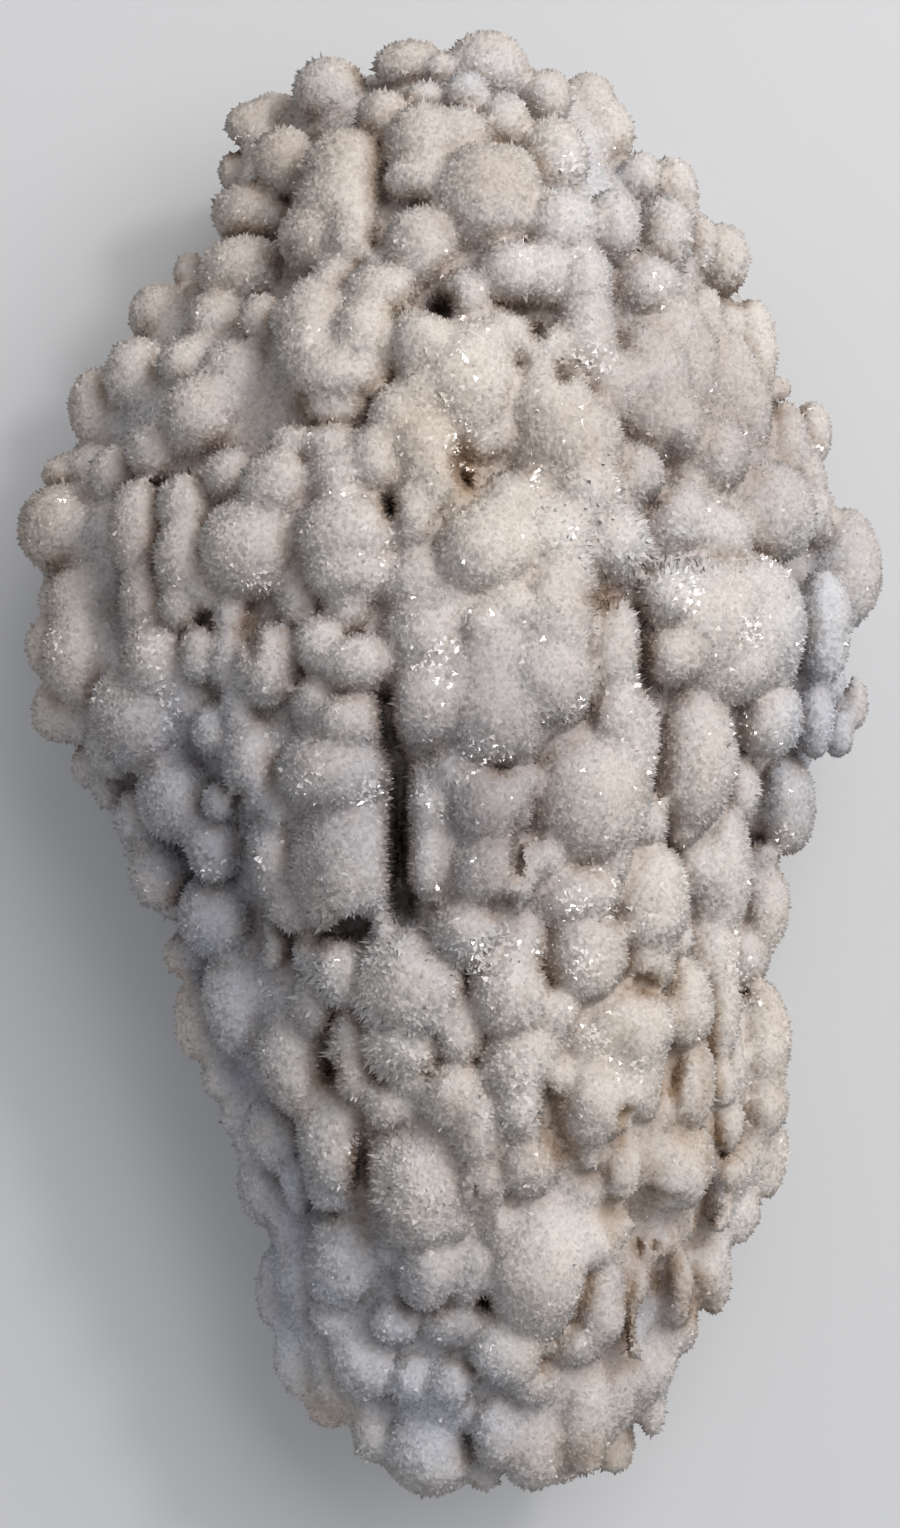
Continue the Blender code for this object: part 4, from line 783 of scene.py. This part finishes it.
def calcite(name, roughness, glare, read):
    """Calcite in its shades. `read` gives the sockets that carry the tone and the hue of each place."""
    mat = bpy.data.materials.new(name)
    mat.use_nodes = True
    tree = mat.node_tree
    shader = tree.nodes["Principled BSDF"]
    tone, hue = read(tree)
    shades = []
    for dark, middle, light in (LILAC, CREAM, TAN):
        ramp = node(tree, "ShaderNodeValToRGB", Fac=tone)
        stops = ramp.color_ramp.elements
        stops[0].position, stops[0].color = 0.0, linear(dark)
        stops[1].position, stops[1].color = LIGHT_STOP, linear(light)
        stops.new(MIDDLE_STOP).color = linear(middle)
        shades.append(ramp.outputs[0])
    first = node(tree, "ShaderNodeMapRange", Value=hue, From_Max=0.5).outputs[0]
    second = node(tree, "ShaderNodeMapRange", Value=hue, From_Min=0.5).outputs[0]
    pale = node(tree, "ShaderNodeMix", {"data_type": "RGBA"}, i0=first, i6=shades[0], i7=shades[1])
    full = node(tree, "ShaderNodeMix", {"data_type": "RGBA"}, i0=second, i6=pale.outputs[2], i7=shades[2])
    tree.links.new(full.outputs[2], shader.inputs["Base Color"])
    shader.inputs["Roughness"].default_value = roughness
    shader.inputs["IOR"].default_value = CALCITE_IOR
    shader.inputs["Specular IOR Level"].default_value = glare
    return mat


def from_crust(tree):
    """Tone and hue as the crust's vertices carry them."""
    return [node(tree, "ShaderNodeAttribute", {"attribute_name": name}).outputs["Fac"] for name in ("tone", "hue")]


# Under the druse the crust is dull, and its cut back was left as the saw made it
crust.data.materials.append(calcite("milky calcite crust", 0.5, 0.3, from_crust))


# The druse. A fine coat of dogtooth calcite crystals that grew outwards from the crust in still water. Each is a
# three-sided point rooted in the crust. They are low and broad on the knob tops and longer on the flanks.
PITCH = 0.345  # spacing of the crystals
TRIED = 2.4  # how many places are tried for each crystal, so that the coat is even
BARE_LEVEL = 0.5  # none grow under this height, next to the cut

rng = np.random.default_rng(3)
share = np.where(corners[:, :, 2].min(axis=1) > BARE_LEVEL, area, 0)
tries = rng.choice(len(tris), int(share.sum() / PITCH**2 * TRIED), p=share / share.sum())
s, t = np.sqrt(rng.random(len(tries))), rng.random(len(tries))
weights = np.stack([1 - s, s * (1 - t), s * t], axis=1)
roots = (corners[tries] * weights[..., None]).sum(axis=1)
out = (normal[tris[tries]] * weights[..., None]).sum(axis=1)
out /= np.linalg.norm(out, axis=1)[:, None]
cell = np.floor(roots / PITCH).astype(int)
cell -= cell.min(axis=0)
_, first = np.unique(np.ravel_multi_index(cell.T, cell.max(axis=0) + 1), return_index=True)
roots, out = roots[first], out[first]
crystals = len(roots)
seen_x, seen_y = seen_place(roots)

# Each crystal takes the crust's colour where it stands, painted shade included, a little changed
TONE_SPREAD, HUE_SPREAD = 0.04, 0.03
DARKEST, LIGHTEST = 0.03, 0.97  # the shades stay off the ends of the ramps

tone, hue = shade(roots, out)
tone += rng.normal(0, TONE_SPREAD, crystals)
hue += rng.normal(0, HUE_SPREAD, crystals)
tone, hue = np.clip(tone, DARKEST, LIGHTEST), np.clip(hue, DARKEST, LIGHTEST)

# Height and half width
TOP_HEIGHT, FLANK_HEIGHT, HEIGHT_SPREAD = 0.17, 0.27, 0.3  # on a knob's top, and what a flank adds
TOP_WIDTH, FLANK_WIDTH, WIDTH_SPREAD = 0.5, 0.2, 0.15  # the same, and what a flank takes off
WORN_AWAY = 0.4  # share of the height that wear took
RIM_BAND, RIM_HEIGHT = (18, 32), (0.65, 1)  # heights over the cut between which the crystals get longer

flank = 1 - np.clip(out[:, 2], 0, 1)
height = (TOP_HEIGHT + FLANK_HEIGHT * flank) * np.exp(HEIGHT_SPREAD * rng.normal(size=crystals))
wide = (TOP_WIDTH - FLANK_WIDTH * flank) * np.exp(WIDTH_SPREAD * rng.normal(size=crystals))
height *= 1 - WORN_AWAY * wear(seen_x, seen_y)
height *= np.interp(roots[:, 2], RIM_BAND, RIM_HEIGHT)


def off_centre(x, y, across, along):
    """How far each crystal lies from a place, squared, where 1 is on the edge of its reach."""
    return ((seen_x - x) / across) ** 2 + ((seen_y - y) / along) ** 2


# Long white crystals stand among the others on some knobs: (x, y, reach across, reach along)
LONG = (
    (-8, -17.5, 6, 3.5), (-10, -28.5, 6, 6), (-4, -28.5, 4, 5), (-5, -41.5, 7, 6), (2, -19.5, 5, 4),
    (13, 24.5, 5, 5), (20, 20, 6, 6), (-13, -23, 3, 6), (5, -33, 4, 5),
)
LONG_SHARE, LONG_TONE = 0.5, 0.6  # how many of the crystals there are long, of those lighter than this tone
LONGER, SLIMMER, PALER, COOLER = 1.1, 0.2, 0.14, 0.12
LEAN, LONG_LEAN = 0.15, 0.14  # how far crystals lean at random, and what a long one adds

spiky = np.zeros(crystals)
for x, y, across, along in LONG:
    spiky = np.maximum(spiky, np.exp(-(off_centre(x, y, across, along) ** 2)))
tall = spiky * (rng.random(crystals) < LONG_SHARE) * (tone > LONG_TONE)
height *= 1 + LONGER * tall
wide *= 1 - SLIMMER * tall
lean_by = LEAN + LONG_LEAN * tall
tone = np.clip(tone + PALER * tall, DARKEST, LIGHTEST)
hue = np.clip(hue - COOLER * spiky, DARKEST, LIGHTEST)

# Dark needles stand in the creases of one stretch on the right
NEEDLES = (17.5, 10, 4, 12)
NEEDLE_SHARE, NEEDLE_TONE = 0.05, 0.62
NEEDLE_HEIGHT, NEEDLE_MORE, NEEDLE_WIDTH = 1.3, 0.5, 0.09
NEEDLE_DARK, NEEDLE_BROWN = 0.05, 0.7  # their tone and hue

hairy = np.exp(-(off_centre(*NEEDLES) ** 2))
needle = (rng.random(crystals) < NEEDLE_SHARE * hairy) & (tone < NEEDLE_TONE)
height = np.where(needle, NEEDLE_HEIGHT + NEEDLE_MORE * rng.random(crystals), height)
wide = np.where(needle, NEEDLE_WIDTH, wide)
tone = np.where(needle, NEEDLE_DARK, tone)
hue = np.where(needle, NEEDLE_BROWN, hue)

# The points themselves
SUNK = 0.1  # how deep the feet stand in the crust
FACES = np.array(((0, 1, 3), (1, 2, 3), (2, 0, 3)))  # three feet and the tip

lean = out + lean_by[:, None] * rng.normal(size=out.shape)
lean /= np.linalg.norm(lean, axis=1)[:, None]
off_line = np.where(np.abs(lean[:, 2:]) < 0.8, (0, 0, 1), (1, 0, 0))  # any direction well off the crystal's own
side = np.cross(lean, off_line)
side /= np.linalg.norm(side, axis=1)[:, None]
other = np.cross(lean, side)
turn = rng.uniform(0, 2 * math.pi, crystals)
feet = [
    roots - SUNK * out + wide[:, None] * (np.cos(turn + a)[:, None] * side + np.sin(turn + a)[:, None] * other)
    for a in (0, 2 * math.pi / 3, 4 * math.pi / 3)
]
points = np.stack([*feet, roots + height[:, None] * lean], axis=1)

# A few crystals are clear and smooth, many of them in groups that face the window: (x, y, reach)
GLINTS = (
    (14, 40.2, 1.6), (30, 13.4, 1.4), (29, 3.9, 1.2), (24, 17.2, 1.2), (14, -27.1, 1.6), (13.5, -20.1, 1.5),
    (12.5, -13.6, 1.5), (-8, -2.6, 1.6), (3, -19.1, 1.4), (-29.5, 11.9, 1.6), (1.4, 40.5, 1), (-13.6, 42.6, 0.8),
    (8.6, 28.6, 0.9), (-10, 27.5, 1), (-1.2, 9.2, 1.4), (-6.4, 20.6, 1), (-19.2, 18.2, 1.2), (-9, -38, 1.4),
    (12, 60, 0.8), (-38, 26, 1.2), (7.6, 51, 1),
)
CLEAR_IN_GROUP, CLEAR_IN_CLOUD, CLEAR = 0.6, 0.2, 0.008  # how many are clear in a group, in a cloud and elsewhere
SPARK, SPARK_LEVEL = 2.6, 0.8  # spacing of the clouds, and the level over which a place is in one

spark = field.read(field.uneven(SPARK, 10), roots)
chance = np.where(spark > SPARK_LEVEL, CLEAR_IN_CLOUD, CLEAR)
for x, y, reach in GLINTS:
    chance += CLEAR_IN_GROUP * np.exp(-((seen_x - x) ** 2 + (seen_y - y) ** 2) / reach**2)
polished = rng.random(crystals) < chance * (roots[:, 2] > RIM)

# A frosted crystal's faces shade mostly as the crust does, so that the coat looks soft and milky, as one whose
# crystals are finer than these. A clear one's faces throw the window's light straight up.
KEEN = 0.34  # how much each frosted face shades by its own tilt
FLASH = np.array((0.245, 0.222, 0.944))  # tilt about halfway between straight up and the window
FLASH_SPREAD = 0.045

facing = [np.cross(points[:, b] - points[:, a], points[:, c] - points[:, a]) for a, b, c in FACES]
facing = np.stack(facing, axis=1)
facing /= np.linalg.norm(facing, axis=2)[..., None]
facing *= np.sign((facing * out[:, None]).sum(axis=2))[..., None]
facing = out[:, None] * (1 - KEEN) + facing * KEEN
facing /= np.linalg.norm(facing, axis=2)[..., None]
flash = FLASH + FLASH_SPREAD * rng.normal(size=(crystals, 1, 3))
facing = np.where(polished[:, None, None], flash / np.linalg.norm(flash, axis=2)[..., None], facing)

# Each crystal's map holds its tone and hue, a little darker at the feet than at the tip: painted shade at the
# feet, where the crystals close each other in, and painted light on the tips
FOOT_SHADE, BACK_FOOT_SHADE, TIP_LIGHT, FOOT_HUE = 0.03, 0.04, 0.01, 0.012
MAP_LOW, MAP_HIGH = 0.002, 0.998  # the map stays inside its square

lay = np.stack([
    np.stack([tone - FOOT_SHADE, hue - FOOT_HUE], axis=1),
    np.stack([tone - FOOT_SHADE, hue + FOOT_HUE], axis=1),
    np.stack([tone - BACK_FOOT_SHADE, hue], axis=1),
    np.stack([tone + TIP_LIGHT, hue], axis=1),
], axis=1)
lay = np.clip(lay, MAP_LOW, MAP_HIGH)


def from_crystals(tree):
    """Tone and hue as each crystal's own map carries them."""
    place = node(tree, "ShaderNodeUVMap", {"uv_map": "OFBake"})
    parts = node(tree, "ShaderNodeSeparateXYZ", Vector=place.outputs[0])
    return parts.outputs["X"], parts.outputs["Y"]


# Frosted faces were etched by the water and are matt and milky; clear ones are as smooth as they grew and sparkle
frosted = calcite("frosted calcite druse", 0.55, 0.3, from_crystals)
clear = calcite("clear calcite druse", 0.12, 0.5, from_crystals)

UNDER_LEVEL = 15  # the druse under this height is a piece of its own
CROWN_FROM, BELLY_FROM, FOOT_FROM = 28, -8, -38  # where the other pieces meet along Y

under = roots[:, 2] < UNDER_LEVEL
zones = {
    "druse_crown": ~under & (seen_y > CROWN_FROM),
    "druse_middle": ~under & (seen_y <= CROWN_FROM) & (seen_y > BELLY_FROM),
    "druse_belly": ~under & (seen_y <= BELLY_FROM) & (seen_y > FOOT_FROM),
    "druse_foot": ~under & (seen_y <= FOOT_FROM),
    "druse_undercut": under,
}
for name, inside in zones.items():
    starts = 4 * np.arange(int(inside.sum()))
    faces = (starts[:, None, None] + FACES).reshape(-1, 3)
    druse = new_mesh(name, points[inside].reshape(-1, 3) - MIDDLE, faces, 3)
    layer = druse.data.uv_layers.new(name="OFBake")
    layer.uv.foreach_set("vector", lay[inside].reshape(-1, 2)[faces.ravel()].astype(np.float32).ravel())
    druse.data.materials.append(frosted)
    druse.data.materials.append(clear)
    druse.data.polygons.foreach_set("material_index", np.repeat(polished[inside], 3).astype(np.int32))
    normals = druse.data.attributes.new("custom_normal", "FLOAT_VECTOR", "CORNER")
    each_corner = np.repeat(facing[inside].reshape(-1, 3), 3, axis=0)
    normals.data.foreach_set("vector", each_corner.astype(np.float32).ravel())
    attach(druse, "root")

# The stage. A pale card on which the specimen lies, lit by a large window at the upper right of the picture, whose
# brightest part is small and makes the glints, and by the light of the room. Its lengths are metres.
FLOOR_SIZE = 4
WINDOW = (0.42, 0.38, 0.62)
AIM = Vector((0, 0, 0.02))
LAMPS = (("window", 0.8, 4.6, (1, 0.985, 0.965)), ("glint", 0.1, 1.2, (1, 1, 1)))  # (name, size, watts, colour)
ROOM_COLOUR, ROOM_LIGHT = (0.93, 0.96, 1, 1), 0.43
SENSOR = 36
PICTURE = 152.8  # how many millimetres of the readings' length the picture shows

for name in ("Cube", "Light", "Camera"):
    if name in bpy.data.objects:
        bpy.data.objects.remove(bpy.data.objects[name])
bpy.ops.mesh.primitive_plane_add(size=FLOOR_SIZE)
floor = bpy.context.object
floor.name = "floor"
card = bpy.data.materials.new("pale matt card")  # has hardly any gloss, so it shows only the shadow
card.use_nodes = True
surface = card.node_tree.nodes["Principled BSDF"]
surface.inputs["Base Color"].default_value = linear("DADADB")
surface.inputs["Roughness"].default_value = 0.7
floor.data.materials.append(card)

scene = bpy.context.scene
for name, size, watts, colour in LAMPS:
    light = bpy.data.lights.new(name, "AREA")
    light.size, light.energy, light.color = size, watts, colour
    lamp = bpy.data.objects.new(name, light)
    lamp.location = WINDOW
    lamp.rotation_euler = (AIM - lamp.location).to_track_quat("-Z", "Y").to_euler()
    scene.collection.objects.link(lamp)

world = bpy.data.worlds.new("soft room")
scene.world = world
world.use_nodes = True
world.node_tree.nodes["Background"].inputs["Color"].default_value = ROOM_COLOUR
world.node_tree.nodes["Background"].inputs["Strength"].default_value = ROOM_LIGHT

camera = bpy.data.cameras.new("camera")
camera.sensor_fit = "AUTO"
camera.sensor_width = SENSOR
camera.lens = SENSOR * (EYE - READ_LEVEL) / PICTURE
eye = bpy.data.objects.new("camera", camera)
eye.location = (-MIDDLE[0] * MM, -MIDDLE[1] * MM, EYE * MM)
scene.collection.objects.link(eye)
scene.camera = eye
scene.view_settings.view_transform = "Standard"
